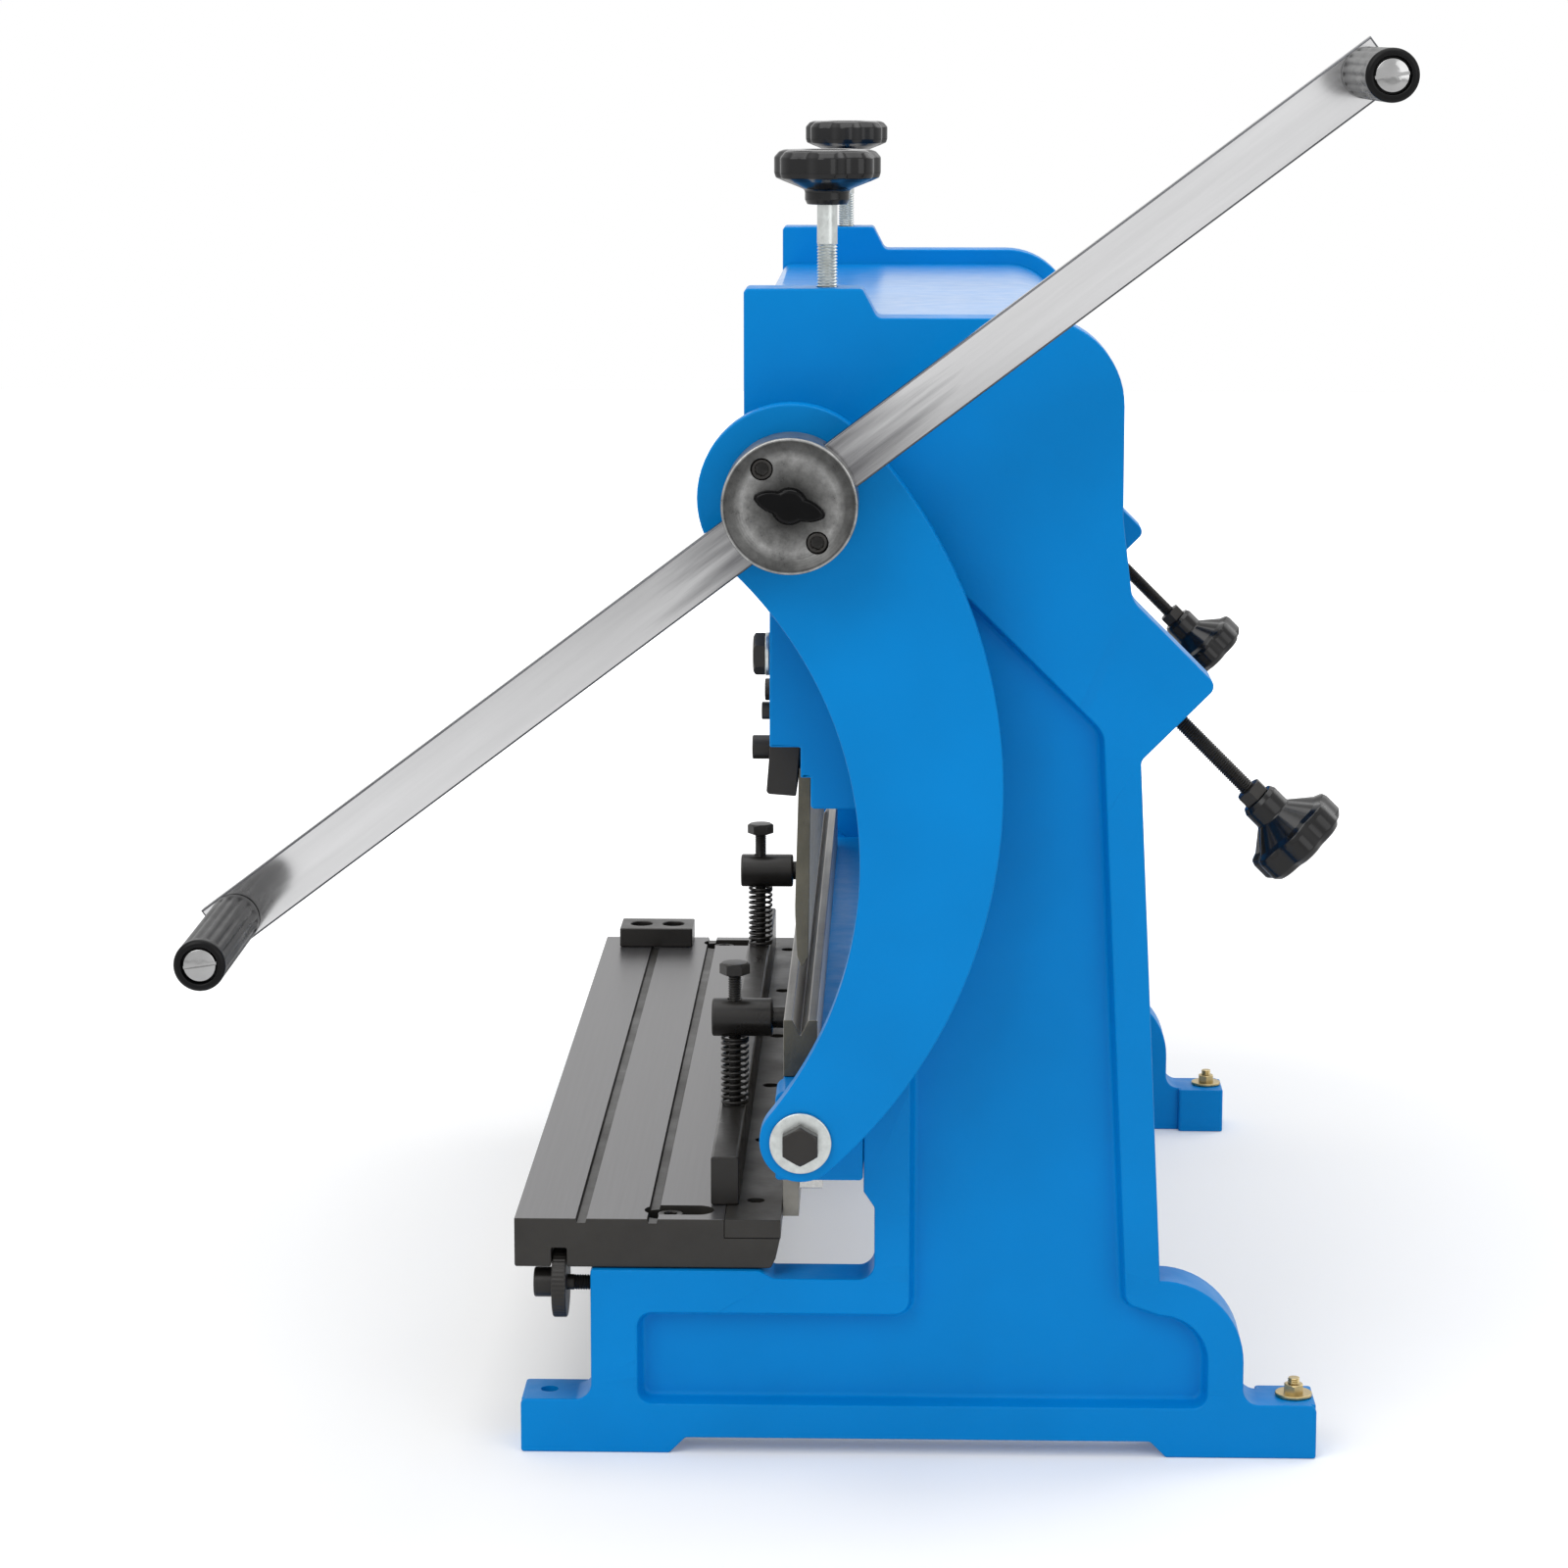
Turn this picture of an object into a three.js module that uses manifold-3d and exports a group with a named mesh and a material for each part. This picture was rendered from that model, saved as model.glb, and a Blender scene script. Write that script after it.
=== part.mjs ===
// A bench slip roll machine with a shear and a press brake under its rolls. Lengths are millimetres:
// X runs across the machine, Y to its rear and Z up from the bench. At rest the ram is at its bottom.
import * as THREE from "three";
import { mergeVertices } from "three/addons/utils/BufferGeometryUtils.js";
import Module from "manifold-3d";

const wasm = await Module();
wasm.setup();

// Fits
const seatGap = 0.3; // between faces that touch
const runGap = 0.3; // between a shaft and its bore, or a slide and its guide
const overrun = 2; // how far a cutting tool runs past a face
const mergeTolerance = 1e-4;

// Facets on round work
const smallRound = 10;
const midRound = 18;
const bigRound = 28;
const arcStep = Math.PI / 8;
const fineArcStep = Math.PI / 18; // on the large curves of the frames and links
const wideArcStep = Math.PI / 36;

// Driving sizes of the whole machine
const frameSpan = 612; // clear width between the side frames
const crankHeight = 484; // axis of the drive roll and the crank
const tableTop = 119.8;
const ramTravel = 24;
const upperRollLift = 8;
const rearRollForward = 18;
const rearRollBack = 10;
const holdDownTravel = 8;
const tableTravel = 4;

// Side frames: the casting's outline, seen from its side
const castingWidth = 28;
const padFront = -136.3;
const padRear = 260.2;
const padHeight = 27.5;
const padInward = 5; // the foot pads stand proud of the casting's inner face
const padReachFront = 36; // length of the front pad
const padFillet = 8;
const archFront = -62;
const archRear = 185.6;
const archHeight = 8;
const archChamfer = 8;
const wallFront = -101;
const railTop = 94.3;
const railRear = -17;
const ledgeTop = 90.5;
const ledgeFront = -9.8;
const ledgeFillet = 8;
const landFront = 34.7;
const landBottom = 135.4;
const landStep = 5.4; // the casting steps back below the ram's land
const landSlope = 8;
const noseFront = -24;
const noseDrop = 40.4; // heights up here are measured from the crank's axis
const bossRise = 14; // above the shoulder
const bossRear = 32.9;
const bossSlope = 7.2;
const shoulderRise = 82.5;
const crownRadius = 42.3;
const crownCentreY = 116.4;
const backDrop = 53.4; // where the straight back meets the rear nose
const backY = 163.6;
const backFillet = 14;
const rearNoseY = 205.4;
const rearNoseDrop = 95.2;
const rearNoseFillet = 5;
const notchY = 168.8;
const notchDrop = 132;
const heelRadius = 42;
const heelCentreY = 181.6;
const heelCentreZ = 49;

// Side frames: the sunk panel in the outer face
const panelDepth = 10;
const panelDraft = 1.5;
const panelFront = -77.4;
const panelBottom = 25.7;
const panelShelf = 72.2;
const panelNeck = 57.9;
const panelFillet = 6;
const panelHeelRadius = 24;
const panelHeelRear = 205.5;
const panelBackBottomY = 164.5;
const panelBackTopY = 150.2;
const panelBackTopDrop = 118;
const panelPeakDrop = 27;
const panelWideFillet = 14;

// Foot holes and bolts
const frontHoleY = -123;
const rearBoltY = 250;
const footHoleRadius = 4.5;
const footBoltRadius = 3;
const footBoltFlats = 9;
const footHeadHeight = 4.5;
const footWasherRadius = 9.25;
const footWasherThickness = 1.6;
const footStudProud = 3;

// Rolls, their journals and gears
const rollRadius = 19;
const rollGearGap = 39; // distance between the two driven rolls' axes
const upperRollY = 15.7;
const rearRollY = 68;
const rearRollRise = 6;
const rollEndGap = 3;
const driveJournal = 12.5;
const idleJournal = 9;
const crankStub = 7.5;
const gearTeeth = 26;
const gearWidth = 14;
const gearAddendumShare = 0.92; // of the module
const gearDedendumShare = 1.2; // of the module
const toothShare = 0.46; // of the tooth pitch, at the pitch circle
const toothTipShare = 0.22;
const wireGrooves = [1.5, 2, 2.5]; // radius of each wire groove
const wireGroovePitch = 9;
const wireGrooveInset = 18;

// Bearings
const bushRadius = 17;
const bushFlange = 21;
const bushFlangeWidth = 2.5;
const bossRadius = 28;
const bossProud = 23;
const pocketDepth = 18;
const upperBlockWidth = 32;
const upperBlockHeight = 28;
const rearBlockWidth = 32;
const rearBlockLength = 28;
const blockDepth = 17.4;

// Top knobs and rear knobs
const topScrewRadius = 5;
const topKnobStandOff = 39.5; // from the casting's boss to the knob
const topKnobUnder = 12;
const topKnobRimHeight = 14;
const topKnobRadius = 26;
const topKnobHub = 10.8;
const topKnobNeck = 9;
const starLobes = 7;
const starScoopShare = 0.1; // of the knob's radius
const knobCrown = 3;
const knobDish = 3;
const knobDishRadius = 10;
const rearScrewRadius = 4;
const rearNutFlats = 13;
const rearNutHeight = 6.5;
const rearNutAt = 52; // from the casting's rear face to the nut's centre
const rearKnobNeck = 9.8;
const rearKnobNeckLength = 12;
const rearKnobCone = 9;
const rearKnobRim = 15;
const rearKnobRadius = 25;
const screwClearance = 0.5;

// Top cover
const coverThickness = 3;
const coverInset = 9;
const coverLip = 14;
const coverBend = 6;
const coverTail = 0.9; // radians of the crown's arc that the cover follows

// Fixed front beam and its bolts
const beamFront = -11.7;
const beamHeight = 115.7;
const beamStepY = 3.4;
const beamStepHeight = 30.4;
const beamSeatY = 8.3;
const beamSeatHeight = 15.4;
const beamPocketWall = 15.3;
const beamPocketHeight = 54;
const beamPocketFront = 10;
const beamPocketEnd = 22;
const beamBoltDrop = 41.3; // below the beam's top
const beamBoltInset = 14; // from the casting's outer face
const beamBoltRadius = 5;
const beamBoltFlats = 18;
const beamBoltHead = 6;
const beamBoltWasher = 10.5;
const beamBoltWasherThickness = 2;
const beamBoltDepth = 18; // into the casting behind the beam

// Brake fingers and their clamp bar
const fingerWidths = [50.8, 76.2, 101.6, 127, 254];
const fingerGap = 0.4;
const fingerFront = 1.9;
const fingerBack = 7.8;
const fingerTipGap = 2.6; // above the die when the ram is at its top
const fingerTipY = 3.3;
const fingerTipHalf = 2.2;
const fingerTipHeight = 6;
const fingerBelly = 2;
const fingerBellyHeight = 29;
const clampDepth = 14;
const clampHeight = 23;
const clampTilt = 3;
const clampScrewPitch = 150;
const clampScrewRadius = 4;
const clampScrewHead = 6;
const clampScrewHeadHeight = 7.6;
const clampScrewSocket = 3;
const clampScrewDepth = 12;
const clampScrews = 4;

// Ram, its press brake die and its blade
const ramRear = 34.4;
const ramBottom = 141;
const ramTop = 186.1;
const ramNoseFront = -9;
const ramLedgeBottom = 175;
const ramLedgeFront = -5.8;
const linkBossRadius = 15;
const dieFront = -5.8;
const dieRear = 11.2;
const dieHeight = 29;
const dieGroove = 8;
const shearGap = 0.3; // between the two blades' faces
const bladeThickness = 8.1;
const bladeNearBottom = 114.6;
const bladeRake = 4.5; // how much higher the blade's far end is
const bladeEndGap = 1;
const backingFront = 2.4;
const backingRear = 14;
const backingBottom = 129;
const keeperTongue = 5.6;
const keeperTongueDepth = 7.4;
const keeperLeg = 11.3;
const keeperThickness = 10;
const keeperHeight = 38;

// Links and the eccentrics in them
const linkRing = 44.8;
const linkBoss = 20;
const linkOuterArc = 250;
const linkInnerArc = 196;
const linkThickness = 13;
const linkStandOff = 27; // from the casting's outer face to the link
const linkPinY = 4.5;
const linkPinZ = 171;
const eccentricRadius = 21.7;
const linkBoltRadius = 5;
const linkBoltDepth = 22;
const linkBoltFlats = 17;
const linkBoltHead = 7;
const linkWasherRadius = 15;
const linkWasherThickness = 2.5;

// Crank: hub, double-ended bar and grips
const barAngle = (37 * Math.PI) / 180;
const hubRadius = 32;
const hubStandOff = 42; // from the casting's outer face to the hub's back
const hubLength = 33;
const hubRim = 2.6;
const hubDish = 3;
const hubWingAngle = (128 * Math.PI) / 180; // from the bar
const hubWingLength = 24; // between the middles of the wing's round ends
const hubWingRadius = 4.6;
const hubWingNeck = 3.6;
const hubWingMiddle = 8.6;
const hubWingHeight = 2.2;
const hubScrewReach = 21.5;
const hubScrewRadius = 4.8;
const hubScrewSocket = 2.2;
const hubScrewProud = 1.2;
const barWidth = 25;
const barThickness = 8;
const gripReach = 331;
const barPastGrip = 11;
const gripRadius = 12.6;
const gripLength = 104;
const gripFlutes = 16;
const gripFluteDepth = 0.8;
const gripFootLength = 6;
const gripEndLength = 5;
const gripBore = 4.6;
const gripPin = 4.2; // radius of the pin that a grip turns on
const gripPinHead = 9;
const gripPinHeadHeight = 3.2;
const gripPinSlot = 1.6;
const gripPinSlotDepth = 1.2;
const collarRadius = 14;
const collarLength = 9;

// Shear table and its lower blade
const tableFront = -138.9;
const tableRear = -6.4;
const tableBottom = 95;
const tableEndInset = 3; // from the casting's outer face
const tableGrooves = [-105.6, -70.1];
const tableGrooveWidth = 3;
const tableGrooveDepth = 2;
const tableNotchRear = -112.8;
const tableNotchWidth = 7.9;
const tableNotchTop = 104.6;
const tableUndercut = 5;
const slotFront = -75;
const slotSpare = 11.5; // behind the bolt's head with the table right forward
const slotWidth = 17;
const slotDepth = 10;
const slotNarrow = 9;
const slotInset = 17; // from the table's end
const tableBoltY = -62;
const tableBoltRadius = 4;
const tableBoltHead = 6.5;
const tableBoltHeadHeight = 8;
const tableBoltSocket = 3;
const tableBoltSocketDepth = 4;
const tableBoltDepth = 20;
const bladeSeatFront = -34.5;
const bladeSeatDepth = 9.6;
const bladeHoles = 6;
const bladeHolePitch = 118;
const bladeHoleRadius = 4.4;
const bladeHoleY = -20;
const guideFront = -128.5;
const guideRear = -81.9;
const guideLength = 32;
const guideHeight = 12;
const guideHoleY = [-115.4, -94.9];
const guideHoleRadius = 7;

// Table adjusting screws
const adjusterZ = 84;
const adjusterHead = 7.5;
const adjusterHeadLength = 9.7;
const adjusterFlange = 17.5;
const adjusterFlangeWidth = 7.2;
const adjusterRadius = 4;
const adjusterDepth = 20;
const adjusterSocket = 3;

// Hold-down
const pressureFront = -42.2;
const pressureRear = -28.3;
const pressureHeight = 24.8;
const postX = 196.5;
const postY = -34.4;
const postRadius = 3.6;
const postHeadFlats = 13;
const postSpare = 4.5; // under the post's head at the end of its travel
const postHeadHeight = 6.9;
const barrelZ = 191.2;
const barrelRadius = 10;
const barrelFront = -46.3;
const barrelRear = -14.4;
const barrelNeck = 5.6;
const barrelNeckDepth = 6;
const springRadius = 6.7; // to the middle of the wire
const springWire = 0.8;
const springTurns = 9;
const springSteps = 8; // for each turn
const springSides = 5;

// Places worked out from the sizes above
const innerFace = frameSpan / 2;
const outerFace = innerFace + castingWidth;
const upperRollZ = crankHeight + Math.sqrt(rollGearGap ** 2 - upperRollY ** 2);
const noseBottom = crankHeight - noseDrop;
const shoulderHeight = crankHeight + shoulderRise;
const bossTop = shoulderHeight + bossRise;
const backTop = crankHeight - backDrop;
const rearNoseZ = crankHeight - rearNoseDrop;
const notchZ = crankHeight - notchDrop;
const panelBackTopZ = crankHeight - panelBackTopDrop;
const panelPeakZ = crankHeight - panelPeakDrop;
const rearRollZ = crankHeight + rearRollRise;
const topKnobBase = bossTop + topKnobStandOff;
const topKnobRim = topKnobBase + topKnobUnder;
const topKnobTop = topKnobRim + topKnobRimHeight;
const beamTop = noseBottom - seatGap;
const beamBottom = beamTop - beamHeight;
const beamStepZ = beamBottom + beamStepHeight;
const beamSeatZ = beamBottom + beamSeatHeight;
const beamPocketTop = beamTop - beamPocketWall;
const beamPocketBottom = beamPocketTop - beamPocketHeight;
const beamBoltZ = beamTop - beamBoltDrop;
const dieBottom = ramTop + seatGap;
const dieTop = dieBottom + dieHeight;
const fingerTipZ = dieTop + ramTravel + fingerTipGap;
const fingerBellyZ = fingerTipZ + fingerBellyHeight;
const adjusterX = innerFace + castingWidth / 2;
const slotRear = tableBoltY + tableBoltHead + tableTravel + slotSpare;
const postHeadBottom = barrelZ + barrelRadius + holdDownTravel + postSpare;
const topScrewX = innerFace + blockDepth - topScrewRadius;
const rearScrewX = topScrewX;
const gearModule = rollGearGap / gearTeeth;
const footX = (innerFace - padInward + outerFace) / 2;
const sides = [["near", 1], ["far", -1]];

// Outlines

function arc(y, z, radius, from, to, step = arcStep) {
  const steps = Math.max(1, Math.ceil(Math.abs(to - from) / step));
  return Array.from({ length: steps + 1 }, (_, i) => {
    const angle = from + ((to - from) * i) / steps;
    return [y + radius * Math.cos(angle), z + radius * Math.sin(angle)];
  });
}

// A closed outline from its corners; a corner's third value is the radius of its fillet.
function outline(corners, step = arcStep) {
  const points = [];
  corners.forEach(([y, z, radius = 0], i) => {
    const at = new THREE.Vector2(y, z);
    if (!radius) {
      points.push(at);
      return;
    }
    const [backY2, backZ2] = corners.at(i - 1);
    const [aheadY, aheadZ] = corners[(i + 1) % corners.length];
    const back = new THREE.Vector2(backY2, backZ2).sub(at).normalize();
    const ahead = new THREE.Vector2(aheadY, aheadZ).sub(at).normalize();
    const half = Math.acos(back.dot(ahead)) / 2;
    const reach = radius / Math.tan(half);
    const middle = back.clone().add(ahead).normalize().multiplyScalar(radius / Math.sin(half));
    const centre = at.clone().add(middle);
    const first = at.clone().addScaledVector(back, reach).sub(centre);
    const last = at.clone().addScaledVector(ahead, reach).sub(centre);
    const sweep = Math.atan2(first.cross(last), first.dot(last));
    const start = first.angle();
    arc(centre.x, centre.y, radius, start, start + sweep, step).forEach(([u, v]) => {
      points.push(new THREE.Vector2(u, v));
    });
  });
  return points;
}

// Where two circles meet; the turn says on which side of the line between their centres.
function circlesMeet([ay, az, ar], [by, bz, br], turn) {
  const gap = Math.hypot(by - ay, bz - az);
  const along = (ar ** 2 - br ** 2 + gap ** 2) / (2 * gap);
  const aside = turn * Math.sqrt(ar ** 2 - along ** 2);
  const [uy, uz] = [(by - ay) / gap, (bz - az) / gap];
  return [ay + uy * along - uz * aside, az + uz * along + uy * aside];
}

// Solids
function solid(geometry) {
  const bare = geometry.clone();
  bare.deleteAttribute("normal");
  bare.deleteAttribute("uv");
  const merged = mergeVertices(bare, mergeTolerance);
  const triVerts = new Uint32Array(merged.index.array);
  const vertProperties = merged.attributes.position.array;
  const made = new wasm.Manifold(new wasm.Mesh({ numProp: 3, vertProperties, triVerts }));
  if (made.volume() > 0) return made;
  for (let i = 0; i < triVerts.length; i += 3) {
    [triVerts[i + 1], triVerts[i + 2]] = [triVerts[i + 2], triVerts[i + 1]];
  }
  return new wasm.Manifold(new wasm.Mesh({ numProp: 3, vertProperties, triVerts }));
}

function geometryOf(body) {
  const mesh = body.getMesh();
  const geometry = new THREE.BufferGeometry();
  geometry.setAttribute("position", new THREE.BufferAttribute(mesh.vertProperties, 3));
  geometry.setIndex(new THREE.BufferAttribute(mesh.triVerts, 1));
  geometry.computeVertexNormals();
  return geometry;
}

const join = (first, ...rest) => rest.reduce((sum, next) => sum.add(next), first);
const cut = (first, ...tools) => tools.reduce((left, tool) => left.subtract(tool), first);

// Matrices that lay a drawing's first, second and depth directions along the machine's axes
const axisBasis = {
  x: new THREE.Matrix4().makeBasis(
    new THREE.Vector3(0, 1, 0), new THREE.Vector3(0, 0, 1), new THREE.Vector3(1, 0, 0)),
  y: new THREE.Matrix4().makeBasis(
    new THREE.Vector3(0, 0, 1), new THREE.Vector3(1, 0, 0), new THREE.Vector3(0, 1, 0)),
  z: new THREE.Matrix4(),
};

// An outline extruded along an axis: (Y, Z) along X, (Z, X) along Y, (X, Y) along Z.
function slab(axis, points, from, to) {
  const shape = new THREE.Shape(points.map((p) => (p.isVector2 ? p : new THREE.Vector2(...p))));
  const [low, high] = from < to ? [from, to] : [to, from];
  const geometry = new THREE.ExtrudeGeometry(shape, { depth: high - low, bevelEnabled: false });
  return solid(geometry.translate(0, 0, low).applyMatrix4(axisBasis[axis]));
}

// A cylinder along an axis, with its place given by the other two coordinates in the same order.
function rod(axis, radius, from, to, [u, v] = [0, 0], count = midRound) {
  const length = Math.abs(to - from);
  const geometry = new THREE.CylinderGeometry(radius, radius, length, count);
  geometry.rotateX(Math.PI / 2).translate(u, v, (from + to) / 2);
  return solid(geometry.applyMatrix4(axisBasis[axis]));
}

const hexagon = (axis, flats, from, to, at) => rod(axis, flats / Math.sqrt(3), from, to, at, 6);

// A turned piece from (radius, position) pairs that start and end on the axis
function turned(axis, profile, [u, v] = [0, 0], count = midRound) {
  const points = profile.map(([radius, at]) => new THREE.Vector2(radius, at));
  const geometry = new THREE.LatheGeometry(points, count).rotateX(Math.PI / 2);
  geometry.translate(u, v, 0);
  return solid(geometry.applyMatrix4(axisBasis[axis]));
}

function block([x0, x1], [y0, y1], [z0, z1]) {
  const size = [Math.abs(x1 - x0), Math.abs(y1 - y0), Math.abs(z1 - z0)];
  const middle = [(x0 + x1) / 2, (y0 + y1) / 2, (z0 + z1) / 2];
  return solid(new THREE.BoxGeometry(...size).translate(...middle));
}

// Finishes, each mesh with its own material
const finishes = {
  bluePaint: [0x1470c8, 0.42, 0.1],
  castSteel: [0x6c6a62, 0.5, 0.8],
  groundSteel: [0xa9abad, 0.3, 0.95],
  blackSteel: [0x3b3a39, 0.45, 0.6],
  blackOxide: [0x242322, 0.5, 0.5],
  chrome: [0xd9dbdd, 0.12, 1],
  zinc: [0xb8bcbc, 0.35, 0.9],
  yellowZinc: [0xb09a5c, 0.4, 0.85],
  blackPlastic: [0x161616, 0.3, 0],
  bronze: [0x9a7440, 0.4, 0.85],
};

const machine = new THREE.Group();

function piece(name, body, finish, parent = machine) {
  const [color, roughness, metalness] = finishes[finish];
  const material = new THREE.MeshStandardMaterial({ color, roughness, metalness });
  const mesh = new THREE.Mesh(geometryOf(body), material);
  mesh.name = name;
  parent.add(mesh);
  return mesh;
}

// The crown's arc, shared by the side frames and, drawn in, by the top cover
const crownCentreZ = shoulderHeight - crownRadius;

function frameOutline() {
  const heel = arc(heelCentreY, heelCentreZ, heelRadius, 0, Math.PI / 2, fineArcStep);
  const crown = arc(crownCentreY, crownCentreZ, crownRadius, 0, Math.PI / 2, fineArcStep);
  return outline([
    [padFront, 0],
    [archFront, 0],
    [archFront + archChamfer, archHeight],
    [archRear - archChamfer, archHeight],
    [archRear, 0],
    [padRear, 0],
    [padRear, padHeight],
    [heelCentreY + heelRadius, padHeight, padFillet],
    ...heel,
    [notchY, notchZ],
    [rearNoseY, rearNoseZ, rearNoseFillet],
    [backY, backTop, backFillet],
    ...crown,
    [bossRear + bossSlope, shoulderHeight],
    [bossRear, bossTop],
    [noseFront, bossTop],
    [noseFront, noseBottom],
    [landFront, noseBottom],
    [landFront, landBottom],
    [landFront + landStep, landBottom - landSlope],
    [landFront + landStep, ledgeTop, ledgeFillet],
    [ledgeFront, ledgeTop],
    [railRear, railTop],
    [wallFront, railTop],
    [wallFront, padHeight, padFillet],
    [padFront, padHeight],
  ]);
}

function panelOutline() {
  const heel = arc(heelCentreY, heelCentreZ, panelHeelRadius, 0, Math.PI / 2, fineArcStep);
  return outline([
    [panelFront, panelBottom, panelFillet],
    [panelHeelRear, panelBottom, panelFillet],
    ...heel,
    [panelBackBottomY, heelCentreZ + panelHeelRadius + panelFillet],
    [panelBackTopY, panelBackTopZ, panelWideFillet],
    [panelNeck, panelPeakZ, panelWideFillet],
    [panelNeck, panelShelf, panelFillet],
    [panelFront, panelShelf, panelFillet],
  ]);
}

// The tool that sinks the panel: its walls lean out by the draft towards the outer face.
function panelTool(side) {
  const shape = new THREE.Shape(panelOutline());
  const geometry = new THREE.ExtrudeGeometry(shape, {
    depth: overrun,
    bevelThickness: panelDepth,
    bevelSize: panelDraft,
    bevelSegments: 1,
  });
  geometry.applyMatrix4(axisBasis.x);
  geometry.translate(side > 0 ? outerFace : -outerFace - overrun, 0, 0);
  return solid(geometry);
}

// A slot for a sliding bearing block: half its width aside of the axis, its ends along the slide
function pocket(side, [y, z], [uy, uz], width, low, high) {
  const corner = (along, aside) => [y + uy * along - uz * aside, z + uz * along + uy * aside];
  const half = width / 2;
  const points = [corner(low, -half), corner(high, -half), corner(high, half), corner(low, half)];
  return slab("x", points, side * (innerFace - overrun), side * (innerFace + pocketDepth));
}

const upDirection = [0, 1];
const rearDirection = [-Math.SQRT1_2, Math.SQRT1_2]; // the rear roll moves up and forward
const rearRollAt = [rearRollY, rearRollZ];
const upperRollAt = [upperRollY, upperRollZ];

// How far down its slope, from the rear roll's axis, the casting's rear face lies
const rearFaceAt = (() => {
  const faceSum = notchY - notchZ; // along this face Y less Z is the same everywhere
  const rollSum = rearRollY - rearRollZ;
  return (faceSum - rollSum) * Math.SQRT1_2;
})();

// A rod along the rear screw's slope; positions are measured from the roll's axis, down is positive.
function slopeRod(radius, from, to, x, count = smallRound) {
  const geometry = new THREE.CylinderGeometry(radius, radius, to - from, count);
  geometry.translate(0, -(from + to) / 2, 0).rotateX((3 * Math.PI) / 4);
  return solid(geometry.translate(x, rearRollY, rearRollZ));
}

function keeperGroove(side) {
  const grooveFront = landFront + keeperLeg;
  const x = [innerFace - overrun, innerFace + keeperTongue + runGap].map((v) => side * v);
  const y = [grooveFront, grooveFront + keeperTongueDepth + 2 * runGap];
  return block(x, y, [ramBottom - overrun, ramBottom + keeperHeight + ramTravel + overrun]);
}

function sideFrame(side) {
  const outer = side * outerFace;
  const inner = side * innerFace;
  const padInner = side * (innerFace - padInward);
  const casting = join(
    slab("x", frameOutline(), inner, outer),
    block([padInner, outer], [padFront, padFront + padReachFront], [0, padHeight]),
    block([padInner, outer], [heelCentreY + heelRadius + padFillet, padRear], [0, padHeight]),
    rod("x", bossRadius, outer, outer + side * bossProud, [0, crankHeight], bigRound),
  );
  const through = [inner - side * overrun, outer + side * (bossProud + overrun)];
  const flangeSeat = [inner - side * overrun, inner + side * (bushFlangeWidth + seatGap)];
  const crankAt = [0, crankHeight];
  const screwX = side * topScrewX;
  const upperTop = upperBlockHeight / 2 + upperRollLift + runGap;
  const upperTool = pocket(side, upperRollAt, upDirection, upperBlockWidth + 2 * runGap,
    -upperBlockHeight / 2 - runGap, upperTop);
  const rearTool = pocket(side, rearRollAt, rearDirection, rearBlockWidth + 2 * runGap,
    -rearBlockLength / 2 - rearRollBack - runGap, rearBlockLength / 2 + rearRollForward + runGap);
  const footHole = (y) => rod("z", footHoleRadius, -overrun, padHeight + overrun, [side * footX, y]);
  const tableBoltX = side * tableBoltPlaceX;
  return cut(
    casting,
    panelTool(side),
    rod("x", bushRadius + seatGap, ...through, crankAt, bigRound),
    rod("x", bushFlange + seatGap, ...flangeSeat, crankAt, bigRound),
    upperTool,
    rearTool,
    rod("z", topScrewRadius + screwClearance, upperRollZ, bossTop + overrun, [screwX, upperRollY]),
    slopeRod(rearScrewRadius + screwClearance, 0, rearFaceAt + overrun, side * rearScrewX),
    keeperGroove(side),
    footHole(frontHoleY),
    footHole(rearBoltY),
    rod("z", tableBoltRadius + seatGap, railTop - tableBoltDepth - overrun, railTop + overrun,
      [tableBoltX, tableBoltY], smallRound),
    rod("y", adjusterRadius + seatGap, wallFront - overrun, wallFront + adjusterDepth + overrun,
      [adjusterZ, side * adjusterX], smallRound),
    rod("y", beamBoltRadius + seatGap, landFront - overrun, landFront + beamBoltDepth + overrun,
      [beamBoltZ, side * (outerFace - beamBoltInset)], smallRound),
  );
}

const tableEnd = outerFace - tableEndInset;
const tableBoltPlaceX = tableEnd - slotInset;

for (const [where, side] of sides) piece(`${where}_side_frame`, sideFrame(side), "bluePaint");

// Foot bolts at the rear: hexagon head with its washer, and the end that stands out above the head
for (const [where, side] of sides) {
  const at = [side * footX, rearBoltY];
  const washerBase = padHeight + seatGap;
  const washerTop = washerBase + footWasherThickness;
  const headTop = washerTop + footHeadHeight;
  const bolt = join(
    rod("z", footWasherRadius, washerBase, washerTop, at),
    hexagon("z", footBoltFlats, washerTop, headTop, at),
    rod("z", footBoltRadius, padHeight / 4, headTop + footStudProud, at, smallRound),
  );
  piece(`${where}_rear_foot_bolt`, bolt, "yellowZinc");
}

// Top cover: one bent sheet that follows the frames' tops and rounds down at the rear
function topCover() {
  const outer = crownRadius - coverInset;
  const inner = outer - coverThickness;
  const top = shoulderHeight - coverInset;
  const tail = Math.PI / 2 - coverTail;
  const lipBottom = top - coverLip;
  const ring = outline([
    [noseFront, lipBottom],
    [noseFront + coverThickness, lipBottom],
    [noseFront + coverThickness, top - coverThickness, coverBend - coverThickness],
    ...arc(crownCentreY, crownCentreZ, inner, Math.PI / 2, tail, fineArcStep),
    ...arc(crownCentreY, crownCentreZ, outer, tail, Math.PI / 2, fineArcStep),
    [noseFront, top, coverBend],
  ]);
  return slab("x", ring, -innerFace + seatGap, innerFace - seatGap);
}
piece("top_cover", topCover(), "bluePaint");

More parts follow.
